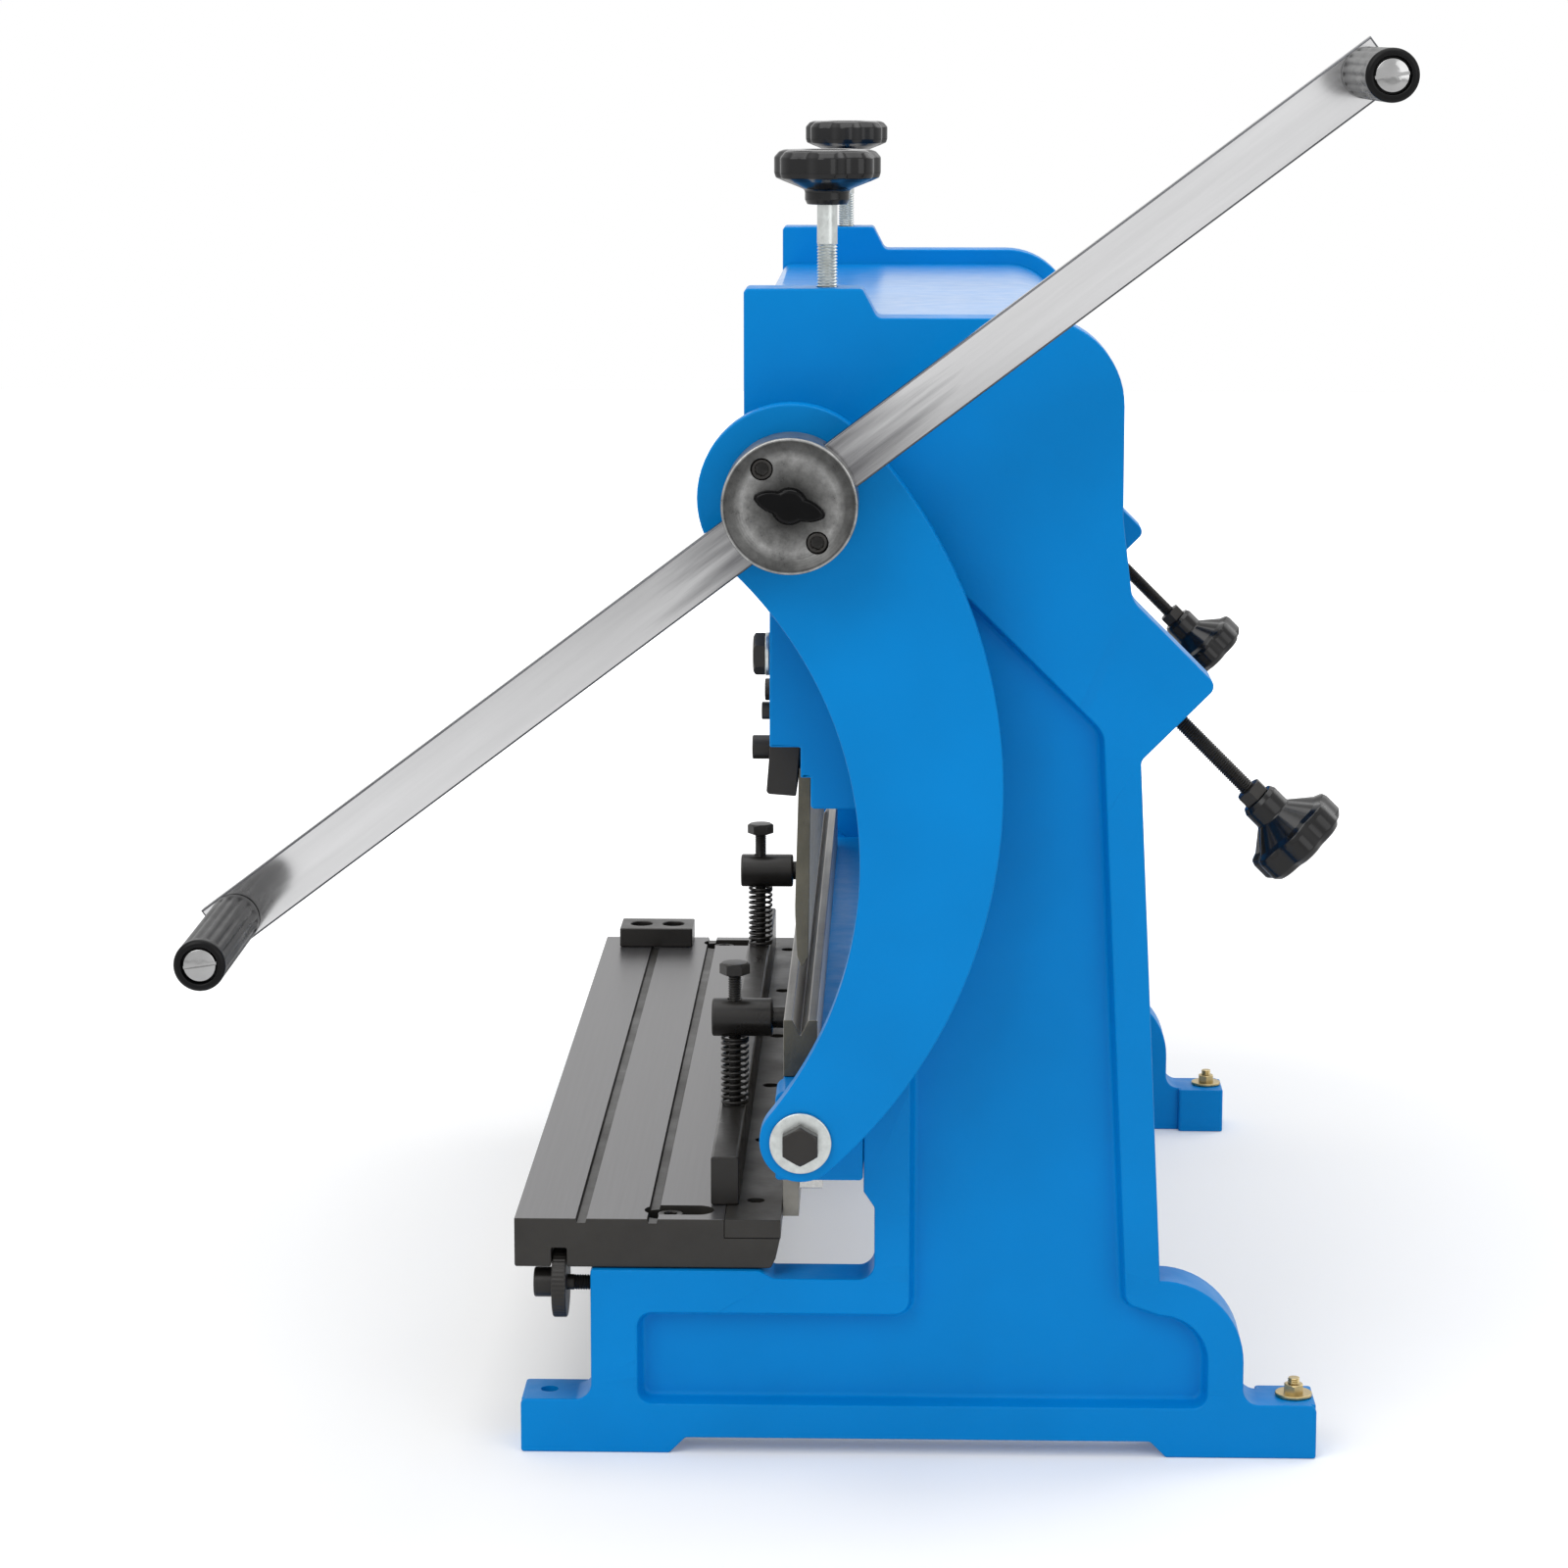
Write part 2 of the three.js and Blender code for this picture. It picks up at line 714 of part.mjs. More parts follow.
// Fixed front beam, bolted to the frames' front lands and open at its back
const beamBoltX = outerFace - beamBoltInset;
const beamBack = landFront - seatGap;
const clampFront = beamFront - (clampDepth - (beamStepY - beamFront));
const clampTop = beamStepZ - seatGap;
const clampScrewZ = clampTop - clampScrewHead;
const clampScrewPlaces = Array.from({ length: clampScrews }, (_, i) =>
  (i - (clampScrews - 1) / 2) * clampScrewPitch);

function frontBeam() {
  const profile = [
    [beamFront, beamTop],
    [beamFront, beamStepZ],
    [beamStepY, beamStepZ],
    [beamStepY, beamSeatZ],
    [beamSeatY, beamSeatZ],
    [beamSeatY, beamBottom],
    [beamBack, beamBottom],
    [beamBack, beamTop],
  ];
  const pocketX = innerFace - beamPocketEnd;
  const screwHoles = clampScrewPlaces.map((x) => rod("y", clampScrewRadius + seatGap,
    beamStepY - overrun, beamStepY + clampScrewDepth + overrun, [clampScrewZ, x], smallRound));
  const boltHoles = sides.map(([, side]) => rod("y", beamBoltRadius + seatGap,
    beamFront - overrun, beamBack + overrun, [beamBoltZ, side * beamBoltX], smallRound));
  return cut(
    slab("x", profile, -outerFace, outerFace),
    block([-pocketX, pocketX], [beamPocketFront, beamBack + overrun],
      [beamPocketBottom, beamPocketTop]),
    ...screwHoles,
    ...boltHoles,
  );
}
piece("front_beam", frontBeam(), "bluePaint");

for (const [where, side] of sides) {
  const at = [beamBoltZ, side * beamBoltX];
  const washerBack = beamFront - seatGap;
  const washerFront = washerBack - beamBoltWasherThickness;
  const bolt = join(
    rod("y", beamBoltWasher, washerFront, washerBack, at),
    hexagon("y", beamBoltFlats, washerFront - beamBoltHead, washerFront, at),
    rod("y", beamBoltRadius, washerFront, landFront + beamBoltDepth, at, smallRound),
  );
  piece(`${where}_beam_bolt`, bolt, "blackOxide");
}

// Brake fingers hang side by side under the beam's seat, held there by the clamp bar.
const fingersWidth = fingerWidths.reduce((sum, width) => sum + width, 0);
let fingerStart = fingersWidth / 2;
fingerWidths.forEach((width, i) => {
  const profile = [
    [fingerFront, beamSeatZ - seatGap],
    [fingerFront - fingerBelly, fingerBellyZ],
    [fingerTipY - fingerTipHalf, fingerTipZ + fingerTipHeight],
    [fingerTipY, fingerTipZ],
    [fingerBack - fingerTipHalf / 2, fingerTipZ + fingerTipHeight],
    [fingerBack, beamSeatZ - seatGap],
  ];
  const body = slab("x", profile, fingerStart - fingerGap, fingerStart - width);
  piece(`brake_finger_${i + 1}`, body, "castSteel");
  fingerStart -= width;
});

// Clamp bar with its cap screws, tilted so that its lower edge presses on the fingers
function clampBar() {
  const top = clampTop;
  const bottom = clampTop - clampHeight;
  const back = fingerFront - seatGap;
  const bar = slab("x", [
    [clampFront + clampTilt, top],
    [clampFront, bottom],
    [back - fingerTipHalf / 2, bottom - fingerTipHalf / 2],
    [back, beamSeatZ - seatGap],
    [beamStepY - seatGap, top],
  ], -fingersWidth / 2, fingersWidth / 2);
  const screws = clampScrewPlaces.map((x) => {
    const at = [clampScrewZ, x];
    const headFront = clampFront - clampScrewHeadHeight;
    const head = rod("y", clampScrewHead, headFront, clampFront + clampTilt, at, smallRound);
    const shank = rod("y", clampScrewRadius, clampFront, beamStepY + clampScrewDepth, at, smallRound);
    const socket = rod("y", clampScrewSocket, headFront - overrun,
      headFront + clampScrewHeadHeight / 2, at, 6);
    return cut(join(head, shank), socket);
  });
  return join(bar, ...screws);
}
piece("finger_clamp_bar", clampBar(), "blackOxide");

// Ram: a beam in front of the frames' lands, with lugs at its ends that carry the links
const ramGroupParts = new THREE.Group();
machine.add(ramGroupParts);
const linkBack = outerFace + linkStandOff;
const keeperFront = ramRear + seatGap;
const bladeHalf = innerFace - bladeEndGap;
const bladeFront = tableRear + shearGap;
const ramBodyFront = bladeFront + bladeThickness + seatGap;

// The holes that the hold-down barrels' necks enter, partly in the die and partly in the ram
function barrelSeats() {
  return sides.map(([, side]) => rod("y", barrelNeck + seatGap, dieFront - overrun,
    dieFront + barrelNeckDepth + seatGap, [barrelZ, side * postX], smallRound));
}

function ram() {
  const body = slab("x", [
    [ramBodyFront, ramBottom],
    [ramRear, ramBottom],
    [ramRear, ramTop],
    [ramLedgeFront, ramTop],
    [ramLedgeFront, ramLedgeBottom],
    [ramBodyFront, ramLedgeBottom],
  ], -innerFace, innerFace);
  const lug = [
    [ramNoseFront, ramBottom],
    [ramRear, ramBottom],
    [ramRear, ramTop],
    [ramNoseFront, ramTop],
  ];
  const at = [linkPinY, linkPinZ];
  const ends = sides.map(([, side]) => join(
    slab("x", lug, side * innerFace, side * outerFace),
    rod("x", linkBossRadius, side * outerFace, side * (linkBack - seatGap), at, midRound),
  ));
  const holes = sides.map(([, side]) => rod("x", linkBoltRadius + seatGap,
    side * (linkBack - linkStandOff - linkBoltDepth), side * (linkBack + overrun), at, smallRound));
  const backingRebate = block([-bladeHalf - seatGap, bladeHalf + seatGap],
    [ramBodyFront - overrun, backingRear + seatGap], [ramBottom - overrun, ramBottom + bladeRake]);
  return cut(join(body, ...ends), backingRebate, ...holes, ...barrelSeats());
}
piece("ram", ram(), "bluePaint", ramGroupParts);

// Press brake die with its V groove, on the ram's front edge
function brakeDie() {
  const middle = (dieFront + dieRear) / 2;
  const body = slab("x", [
    [dieFront, dieBottom],
    [dieRear, dieBottom],
    [dieRear, dieTop],
    [middle + dieGroove / 2, dieTop],
    [middle, dieTop - dieGroove],
    [middle - dieGroove / 2, dieTop],
    [dieFront, dieTop],
  ], -bladeHalf, bladeHalf);
  return cut(body, ...barrelSeats());
}
piece("brake_die", brakeDie(), "groundSteel", ramGroupParts);

// Upper blade: its cutting edge rises towards the far end
function upperBlade() {
  const back = bladeFront + bladeThickness;
  const bladeTop = ramLedgeBottom - seatGap;
  const body = slab("y", [
    [bladeNearBottom, bladeHalf],
    [bladeTop, bladeHalf],
    [bladeTop, -bladeHalf],
    [bladeNearBottom + bladeRake, -bladeHalf],
  ], bladeFront, back);
  return body;
}
piece("upper_blade", upperBlade(), "castSteel", ramGroupParts);

const backing = block([-bladeHalf, bladeHalf], [backingFront, backingRear],
  [backingBottom, ramBottom + bladeRake - seatGap]);
piece("blade_backing_bar", backing, "groundSteel", ramGroupParts);

// Keepers: bolted to the ram's rear face, each with a tongue in its frame's groove
for (const [where, side] of sides) {
  const leg = innerFace - seatGap;
  const tongueFront = keeperFront + keeperLeg;
  const tongue = innerFace + keeperTongue - seatGap;
  const profile = [
    [side * (leg - keeperThickness), keeperFront],
    [side * leg, keeperFront],
    [side * leg, tongueFront + seatGap],
    [side * tongue, tongueFront + seatGap],
    [side * tongue, tongueFront + keeperTongueDepth],
    [side * (leg - keeperThickness), tongueFront + keeperTongueDepth],
  ];
  const body = slab("z", profile, ramBottom, ramBottom + keeperHeight);
  piece(`${where}_ram_keeper`, body, "castSteel", ramGroupParts);
}

// Links: crescents whose two long arcs are tangent to the ring and to the boss
const ringAt = [0, crankHeight, linkRing];
const pinAt = [linkPinY, linkPinZ, linkBoss];
const discZ = crankHeight - ramTravel / 2;

function linkOutline() {
  const [outerY, outerZ] = circlesMeet([0, crankHeight, linkOuterArc - linkRing],
    [linkPinY, linkPinZ, linkOuterArc - linkBoss], -1);
  const [innerY, innerZ] = circlesMeet([0, crankHeight, linkInnerArc + linkRing],
    [linkPinY, linkPinZ, linkInnerArc + linkBoss], -1);
  const angle = (fromY, fromZ, toY, toZ) => Math.atan2(toZ - fromZ, toY - fromY);
  const outerTop = angle(outerY, outerZ, 0, crankHeight);
  const outerBottom = angle(outerY, outerZ, linkPinY, linkPinZ);
  const innerTop = angle(innerY, innerZ, 0, crankHeight);
  const innerBottom = angle(innerY, innerZ, linkPinY, linkPinZ);
  const turn = 2 * Math.PI;
  return [
    ...arc(outerY, outerZ, linkOuterArc, outerBottom, outerTop, wideArcStep),
    ...arc(...ringAt, outerTop, innerTop + Math.PI, fineArcStep).slice(1),
    ...arc(innerY, innerZ, linkInnerArc, innerTop, innerBottom, wideArcStep).slice(1),
    ...arc(...pinAt, innerBottom - Math.PI + turn, outerBottom + turn, fineArcStep).slice(1, -1),
  ];
}

function link(side) {
  const faces = [side * linkBack, side * (linkBack + linkThickness)];
  const through = [side * (linkBack - overrun), side * (linkBack + linkThickness + overrun)];
  return cut(
    slab("x", linkOutline(), ...faces),
    rod("x", eccentricRadius + runGap, ...through, [0, discZ], bigRound),
    rod("x", linkBoltRadius + runGap, ...through, [linkPinY, linkPinZ], smallRound),
  );
}

// The eccentric disc in the link's ring; its slot clears the crank's stub over the ram's travel.
function eccentric(side) {
  const faces = [side * linkBack, side * (linkBack + linkThickness)];
  const through = [side * (linkBack - overrun), side * (linkBack + linkThickness + overrun)];
  const half = crankStub + runGap;
  const slotTop = discZ + ramTravel / 2;
  const slotBottom = discZ - ramTravel / 2;
  return cut(
    rod("x", eccentricRadius, ...faces, [0, discZ], bigRound),
    rod("x", half, ...through, [0, slotTop]),
    rod("x", half, ...through, [0, slotBottom]),
    block(through, [-half, half], [slotBottom, slotTop]),
  );
}

for (const [where, side] of sides) {
  piece(`${where}_link`, link(side), "bluePaint", ramGroupParts);
  piece(`${where}_eccentric`, eccentric(side), "castSteel", ramGroupParts);
  const at = [linkPinY, linkPinZ];
  const washerBack = linkBack + linkThickness + seatGap;
  const headBack = washerBack + linkWasherThickness;
  const bolt = join(
    rod("x", linkWasherRadius, side * washerBack, side * headBack, at, bigRound),
    hexagon("x", linkBoltFlats, side * headBack, side * (headBack + linkBoltHead), at),
    rod("x", linkBoltRadius, side * (outerFace - linkBoltDepth / 2), side * headBack, at, smallRound),
  );
  piece(`${where}_link_bolt`, bolt, "zinc", ramGroupParts);
}

// Crank: the drive roll with its journals, turning about the group's X axis
const crank = new THREE.Group();
crank.position.z = crankHeight;
machine.add(crank);
const rollEnd = innerFace - rollEndGap;
const hubBack = outerFace + hubStandOff;
const hubFace = hubBack + hubLength;
const barMiddle = hubBack + hubLength / 2;
const barBack = barMiddle - barThickness / 2;
const barFront = barMiddle + barThickness / 2;
const crankStubEnd = barBack - seatGap;
const farStubEnd = outerFace + hubStandOff + collarLength;
const gearOuter = rollEnd - seatGap;
const gearInner = gearOuter - gearWidth;

function grooves(sideOfGrooves) {
  return wireGrooves.map((radius, i) => {
    const at = sideOfGrooves * (rollEnd - wireGrooveInset - i * wireGroovePitch);
    const ring = new THREE.TorusGeometry(rollRadius, radius, smallRound / 2, bigRound);
    return solid(ring.rotateY(Math.PI / 2).translate(at, 0, 0));
  });
}

// The gear is at the far end, so the driven rolls are reduced there to carry it.
function driveRoll() {
  const gearSeat = gearInner - seatGap;
  const body = join(
    rod("x", rollRadius, -gearSeat, rollEnd, [0, 0], bigRound),
    rod("x", driveJournal, -(outerFace + bossProud), outerFace + bossProud, [0, 0], bigRound),
    rod("x", crankStub, -farStubEnd, crankStubEnd),
  );
  return cut(body, ...grooves(1));
}
piece("drive_roll", driveRoll(), "groundSteel", crank);

// A spur gear's outline: each tooth has a root, two flanks through the pitch circle and a tip.
function gearOutline(turnShare) {
  const pitch = rollGearGap / 2;
  const root = pitch - gearDedendumShare * gearModule;
  const tip = pitch + gearAddendumShare * gearModule;
  const stations = [[root, -(1 - toothTipShare) / 2], [pitch, -toothShare / 2],
    [tip, -toothTipShare / 2], [tip, toothTipShare / 2], [pitch, toothShare / 2],
    [root, (1 - toothTipShare) / 2]];
  const points = [];
  for (let tooth = 0; tooth < gearTeeth; tooth += 1) {
    for (const [radius, share] of stations) {
      const angle = ((tooth + share + turnShare) * 2 * Math.PI) / gearTeeth;
      points.push([radius * Math.cos(angle), radius * Math.sin(angle)]);
    }
  }
  return points;
}

// Each gear is turned so that a tooth of one faces a gap of the other on the line between them.
const meshAngle = Math.atan2(upperRollZ - crankHeight, upperRollY);
const pitchAngle = (2 * Math.PI) / gearTeeth;

function gear(turnShare, bore) {
  const faces = [-gearOuter, -gearInner];
  const tool = rod("x", bore + seatGap, faces[0] - overrun, faces[1] + overrun, [0, 0], bigRound);
  return cut(slab("x", gearOutline(turnShare), ...faces), tool);
}
piece("drive_gear", gear(meshAngle / pitchAngle, driveJournal), "castSteel", crank);

// Everything on the bar is drawn with the bar along Y and turned to its angle.
const barGroup = new THREE.Group();
barGroup.rotation.x = barAngle;
crank.add(barGroup);

function hub() {
  const bore = rod("x", crankStub + seatGap, hubBack - overrun, barBack);
  const slot = block([barBack - seatGap, barFront + seatGap], [-hubRadius - overrun,
    hubRadius + overrun], [-barWidth / 2 - seatGap, barWidth / 2 + seatGap]);
  const dish = rod("x", hubRadius - hubRim, hubFace - hubDish, hubFace + overrun, [0, 0], bigRound);
  const floor = hubFace - hubDish;
  const wingFaces = [floor - seatGap, floor + hubWingHeight];
  const reach = hubWingLength / 2;
  const wingPoint = (along, aside) => [
    along * Math.cos(hubWingAngle) - aside * Math.sin(hubWingAngle),
    along * Math.sin(hubWingAngle) + aside * Math.cos(hubWingAngle),
  ];
  const neck = [[-reach, -hubWingNeck], [reach, -hubWingNeck], [reach, hubWingNeck],
    [-reach, hubWingNeck]].map(([along, aside]) => wingPoint(along, aside));
  const wing = join(
    rod("x", hubWingMiddle, ...wingFaces, [0, 0], midRound),
    slab("x", neck, ...wingFaces),
    ...[-reach, reach].map((at) => rod("x", hubWingRadius, ...wingFaces, wingPoint(at, 0),
      smallRound)),
  );
  const screws = [-1, 1].map((end) => {
    const at = [0, end * hubScrewReach];
    const body = rod("x", hubScrewRadius, floor - seatGap, floor + hubScrewProud, at, smallRound);
    return cut(body, rod("x", hubScrewSocket, floor, floor + overrun + hubScrewProud, at, 6));
  });
  const shell = cut(rod("x", hubRadius, hubBack, hubFace, [0, 0], bigRound), bore, slot, dish);
  return join(shell, wing, ...screws);
}
piece("crank_hub", hub(), "castSteel", barGroup);

function bar() {
  const half = gripReach + barPastGrip;
  const flat = block([barBack, barFront], [-half, half], [-barWidth / 2, barWidth / 2]);
  const pins = [-1, 1].map((end) => gripPinBody(end * gripReach));
  return join(flat, ...pins);
}

const gripBack = barFront + seatGap;
const gripEnd = gripBack + gripLength;
const pinHeadBack = gripEnd - gripPinHeadHeight;

// A ribbed grip: plain foot and end collars, and flutes between them from one formula
function grip(y) {
  const points = [];
  const stations = gripFlutes * 3;
  for (let i = 0; i < stations; i += 1) {
    const angle = (i * 2 * Math.PI) / stations;
    const radius = gripRadius - (gripFluteDepth / 2) * (1 - Math.cos(gripFlutes * angle));
    points.push([y + radius * Math.cos(angle), radius * Math.sin(angle)]);
  }
  const fluted = slab("x", points, gripBack + gripFootLength, gripEnd - gripEndLength);
  const foot = rod("x", gripRadius, gripBack, gripBack + gripFootLength, [y, 0], bigRound);
  const cap = rod("x", gripRadius, gripEnd - gripEndLength, gripEnd, [y, 0], bigRound);
  const bore = rod("x", gripBore, gripBack - overrun, gripEnd, [y, 0], smallRound);
  const seat = rod("x", gripPinHead + runGap, pinHeadBack - seatGap, gripEnd + overrun, [y, 0]);
  return cut(join(foot, fluted, cap), bore, seat);
}

// The pin that a grip turns on: riveted in the bar, with a slotted head in the grip's end
function gripPinBody(y) {
  const head = rod("x", gripPinHead, pinHeadBack, pinHeadBack + gripPinHeadHeight, [y, 0]);
  const pin = rod("x", gripPin, barBack, pinHeadBack, [y, 0], smallRound);
  const top = pinHeadBack + gripPinHeadHeight;
  const slot = block([top - gripPinSlotDepth, top + overrun],
    [y - gripPinHead - overrun, y + gripPinHead + overrun], [-gripPinSlot / 2, gripPinSlot / 2]);
  return cut(join(head, pin), slot);
}

for (const [where, end] of [["front", -1], ["rear", 1]]) {
  piece(`${where}_grip`, grip(end * gripReach), "blackPlastic", barGroup);
}
piece("crank_bar", bar(), "chrome", barGroup);

// End collar on the crank's far stub
const collarStart = hubBack;
const collar = cut(
  rod("x", collarRadius, -collarStart, -collarStart - collarLength, [0, 0], midRound),
  rod("x", crankStub + seatGap, -collarStart + overrun, -collarStart - collarLength - overrun),
);
piece("far_shaft_collar", collar, "blackOxide", crank);

// Flanged bushes of the crank, held in the frames
for (const [where, side] of sides) {
  const flangeFace = side * innerFace;
  const flangeEnd = side * (innerFace + bushFlangeWidth);
  const tubeEnd = side * (outerFace + bossProud - seatGap);
  const at = [0, crankHeight];
  const body = join(
    rod("x", bushFlange, flangeFace, flangeEnd, at, bigRound),
    rod("x", bushRadius, flangeFace, tubeEnd, at, bigRound),
  );
  const bore = rod("x", driveJournal + runGap, flangeFace - side * overrun, tubeEnd + side * overrun,
    at, bigRound);
  piece(`${where}_crank_bush`, cut(body, bore), "bronze");
}

// Upper roll in its two sliding blocks, which the top screws press down
const upperRollGroup = new THREE.Group();
upperRollGroup.position.set(0, upperRollY, upperRollZ);
machine.add(upperRollGroup);
const journalEnd = innerFace + blockDepth;

function idleRoll(farEnd, ...cuts) {
  const body = join(
    rod("x", rollRadius, -farEnd, rollEnd, [0, 0], bigRound),
    rod("x", idleJournal, -journalEnd, journalEnd),
  );
  return cuts.length ? cut(body, ...cuts) : body;
}
piece("upper_roll", idleRoll(gearInner - seatGap), "groundSteel", upperRollGroup);
const upperTurnShare = (meshAngle + Math.PI) / pitchAngle + 1 / 2;
piece("upper_gear", gear(upperTurnShare, idleJournal), "castSteel", upperRollGroup);

function bearingBlock(side, [uy, uz], width, height) {
  const corner = (along, aside) => [uy * along - uz * aside, uz * along + uy * aside];
  const [w, h] = [width / 2, height / 2];
  const faces = [side * (innerFace + seatGap), side * (innerFace + blockDepth)];
  return cut(
    slab("x", [corner(-h, -w), corner(h, -w), corner(h, w), corner(-h, w)], ...faces),
    rod("x", idleJournal + runGap, faces[0] - side * overrun, faces[1] + side * overrun),
  );
}
for (const [where, side] of sides) {
  const body = bearingBlock(side, upDirection, upperBlockWidth, upperBlockHeight);
  piece(`${where}_upper_bearing`, body, "bronze", upperRollGroup);
}

// Rear roll in its two blocks on the forward slope
const rearRollGroup = new THREE.Group();
rearRollGroup.position.set(0, rearRollY, rearRollZ);
machine.add(rearRollGroup);
piece("rear_roll", idleRoll(rollEnd, ...grooves(1)), "groundSteel", rearRollGroup);
for (const [where, side] of sides) {
  const body = bearingBlock(side, rearDirection, rearBlockWidth, rearBlockLength);
  piece(`${where}_rear_bearing`, body, "bronze", rearRollGroup);
}

// A star knob's head as an outline: lobes from one cosine, deepest between them
function starOutline(radius) {
  const stations = starLobes * 6;
  return Array.from({ length: stations }, (_, i) => {
    const angle = (i * 2 * Math.PI) / stations;
    const scoop = (radius * starScoopShare * (1 - Math.cos(starLobes * angle))) / 2;
    return [(radius - scoop) * Math.cos(angle), (radius - scoop) * Math.sin(angle)];
  });
}

// A star head from one height to another, with a sunk round in the middle of its top
function starHead(radius, from, to) {
  const dish = rod("z", knobDishRadius, to - knobDish, to + overrun, [0, 0], midRound);
  return cut(slab("z", starOutline(radius), from, to), dish);
}

// Top knobs: each group stands where its screw enters the frame's boss
for (const [where, side] of sides) {
  const knob = new THREE.Group();
  knob.position.set(side * topScrewX, upperRollY, 0);
  machine.add(knob);
  const under = turned("z", [
    [0, topKnobBase],
    [topKnobNeck, topKnobBase],
    [topKnobHub, topKnobBase + knobCrown],
    [topKnobHub, topKnobRim - knobCrown],
    [topKnobRadius * (1 - starScoopShare) - knobCrown, topKnobRim + seatGap],
    [0, topKnobRim + seatGap],
  ]);
  const screwTop = topKnobRim;
  const bore = rod("z", topScrewRadius + seatGap, topKnobBase - overrun, screwTop + seatGap);
  const head = starHead(topKnobRadius, topKnobRim, topKnobTop);
  piece(`${where}_top_knob`, cut(join(under, head), bore), "blackPlastic", knob);
  const tipZ = upperRollZ + upperBlockHeight / 2 + seatGap;
  piece(`${where}_top_screw`, rod("z", topScrewRadius, tipZ, screwTop), "zinc", knob);
}

// Rear knobs, moulded on their screws and locked by a nut: drawn along Z from the roll's axis and
// tilted to the rear slope
const rearKnobStart = rearFaceAt + rearNutAt + rearNutHeight / 2;
const rearHeadStart = rearKnobStart + rearKnobNeckLength + rearKnobCone;
for (const [where, side] of sides) {
  const knob = new THREE.Group();
  knob.position.set(side * rearScrewX, rearRollY, rearRollZ);
  knob.rotation.x = (-3 * Math.PI) / 4;
  machine.add(knob);
  const under = turned("z", [
    [0, rearKnobStart],
    [rearKnobNeck, rearKnobStart],
    [rearKnobNeck, rearKnobStart + rearKnobNeckLength],
    [rearKnobRadius * (1 - starScoopShare) - knobCrown, rearHeadStart + seatGap],
    [0, rearHeadStart + seatGap],
  ]);
  const head = starHead(rearKnobRadius, rearHeadStart, rearHeadStart + rearKnobRim);
  const tip = rearBlockLength / 2 + seatGap;
  const nutStart = rearKnobStart - seatGap - rearNutHeight;
  const screw = rod("z", rearScrewRadius, tip, rearHeadStart, [0, 0], smallRound);
  const nut = hexagon("z", rearNutFlats, nutStart, nutStart + rearNutHeight, [0, 0]);
  piece(`${where}_rear_knob`, join(under, head, screw, nut), "blackPlastic", knob);
}

// Shear table: slides forward and back on the frames' rails
function shearTable() {
  const profile = [
    [tableFront, tableBottom],
    [tableNotchRear - tableNotchWidth, tableBottom],
    [tableNotchRear - tableNotchWidth, tableNotchTop],
    [tableNotchRear, tableNotchTop],
    [tableNotchRear, tableBottom],
    [tableRear - tableUndercut, tableBottom],
    [tableRear - tableUndercut / 2, tableBottom + tableUndercut],
    [tableRear - seatGap, tableTop - bladeSeatDepth],
    [bladeSeatFront, tableTop - bladeSeatDepth],
    [bladeSeatFront, tableTop],
    [tableFront, tableTop],
  ];
  const lines = tableGrooves.map((y) => block([-tableEnd - overrun, tableEnd + overrun],
    [y - tableGrooveWidth / 2, y + tableGrooveWidth / 2],
    [tableTop - tableGrooveDepth, tableTop + overrun]));
  const slots = sides.flatMap(([, side]) => {
    const x = side * tableBoltPlaceX;
    return [[slotWidth, tableTop - slotDepth, tableTop + overrun],
      [slotNarrow, tableBottom - overrun, tableTop]].flatMap(([width, low, high]) => [
      rod("z", width / 2, low, high, [x, slotFront + slotWidth / 2]),
      rod("z", width / 2, low, high, [x, slotRear - slotWidth / 2]),
      block([x - width / 2, x + width / 2],
        [slotFront + slotWidth / 2, slotRear - slotWidth / 2], [low, high]),
    ]);
  });
  return cut(slab("x", profile, -tableEnd, tableEnd), ...lines, ...slots);
}
piece("shear_table", shearTable(), "blackSteel");

function lowerBlade() {
  const body = block([-tableEnd, tableEnd], [bladeSeatFront + seatGap, tableRear],
    [tableTop - bladeSeatDepth + seatGap, tableTop]);
  const holes = Array.from({ length: bladeHoles }, (_, i) => rod("z", bladeHoleRadius,
    tableTop - bladeSeatDepth - overrun, tableTop + overrun,
    [(i - (bladeHoles - 1) / 2) * bladeHolePitch, bladeHoleY], smallRound));
  return cut(body, ...holes);
}
piece("lower_blade", lowerBlade(), "blackSteel");

function guideBlock() {
  const base = tableTop + seatGap;
  const body = block([-tableEnd, -tableEnd + guideLength], [guideFront, guideRear],
    [base, base + guideHeight]);
  const holes = guideHoleY.map((y) => rod("z", guideHoleRadius, base - overrun,
    base + guideHeight + overrun, [-tableEnd + guideLength / 2, y]));
  return cut(body, ...holes);
}
piece("work_guide", guideBlock(), "blackOxide");

for (const [where, side] of sides) {
  const at = [side * tableBoltPlaceX, tableBoltY];
  const headBase = tableTop - slotDepth + seatGap;
  const headTop = headBase + tableBoltHeadHeight;
  const shank = rod("z", tableBoltRadius, railTop - tableBoltDepth, headTop, at, smallRound);
  const socket = rod("z", tableBoltSocket, headTop - tableBoltSocketDepth, headTop + overrun, at, 6);
  const bolt = cut(join(rod("z", tableBoltHead, headBase, headTop, at), shank), socket);
  piece(`${where}_table_bolt`, bolt, "blackOxide");
}

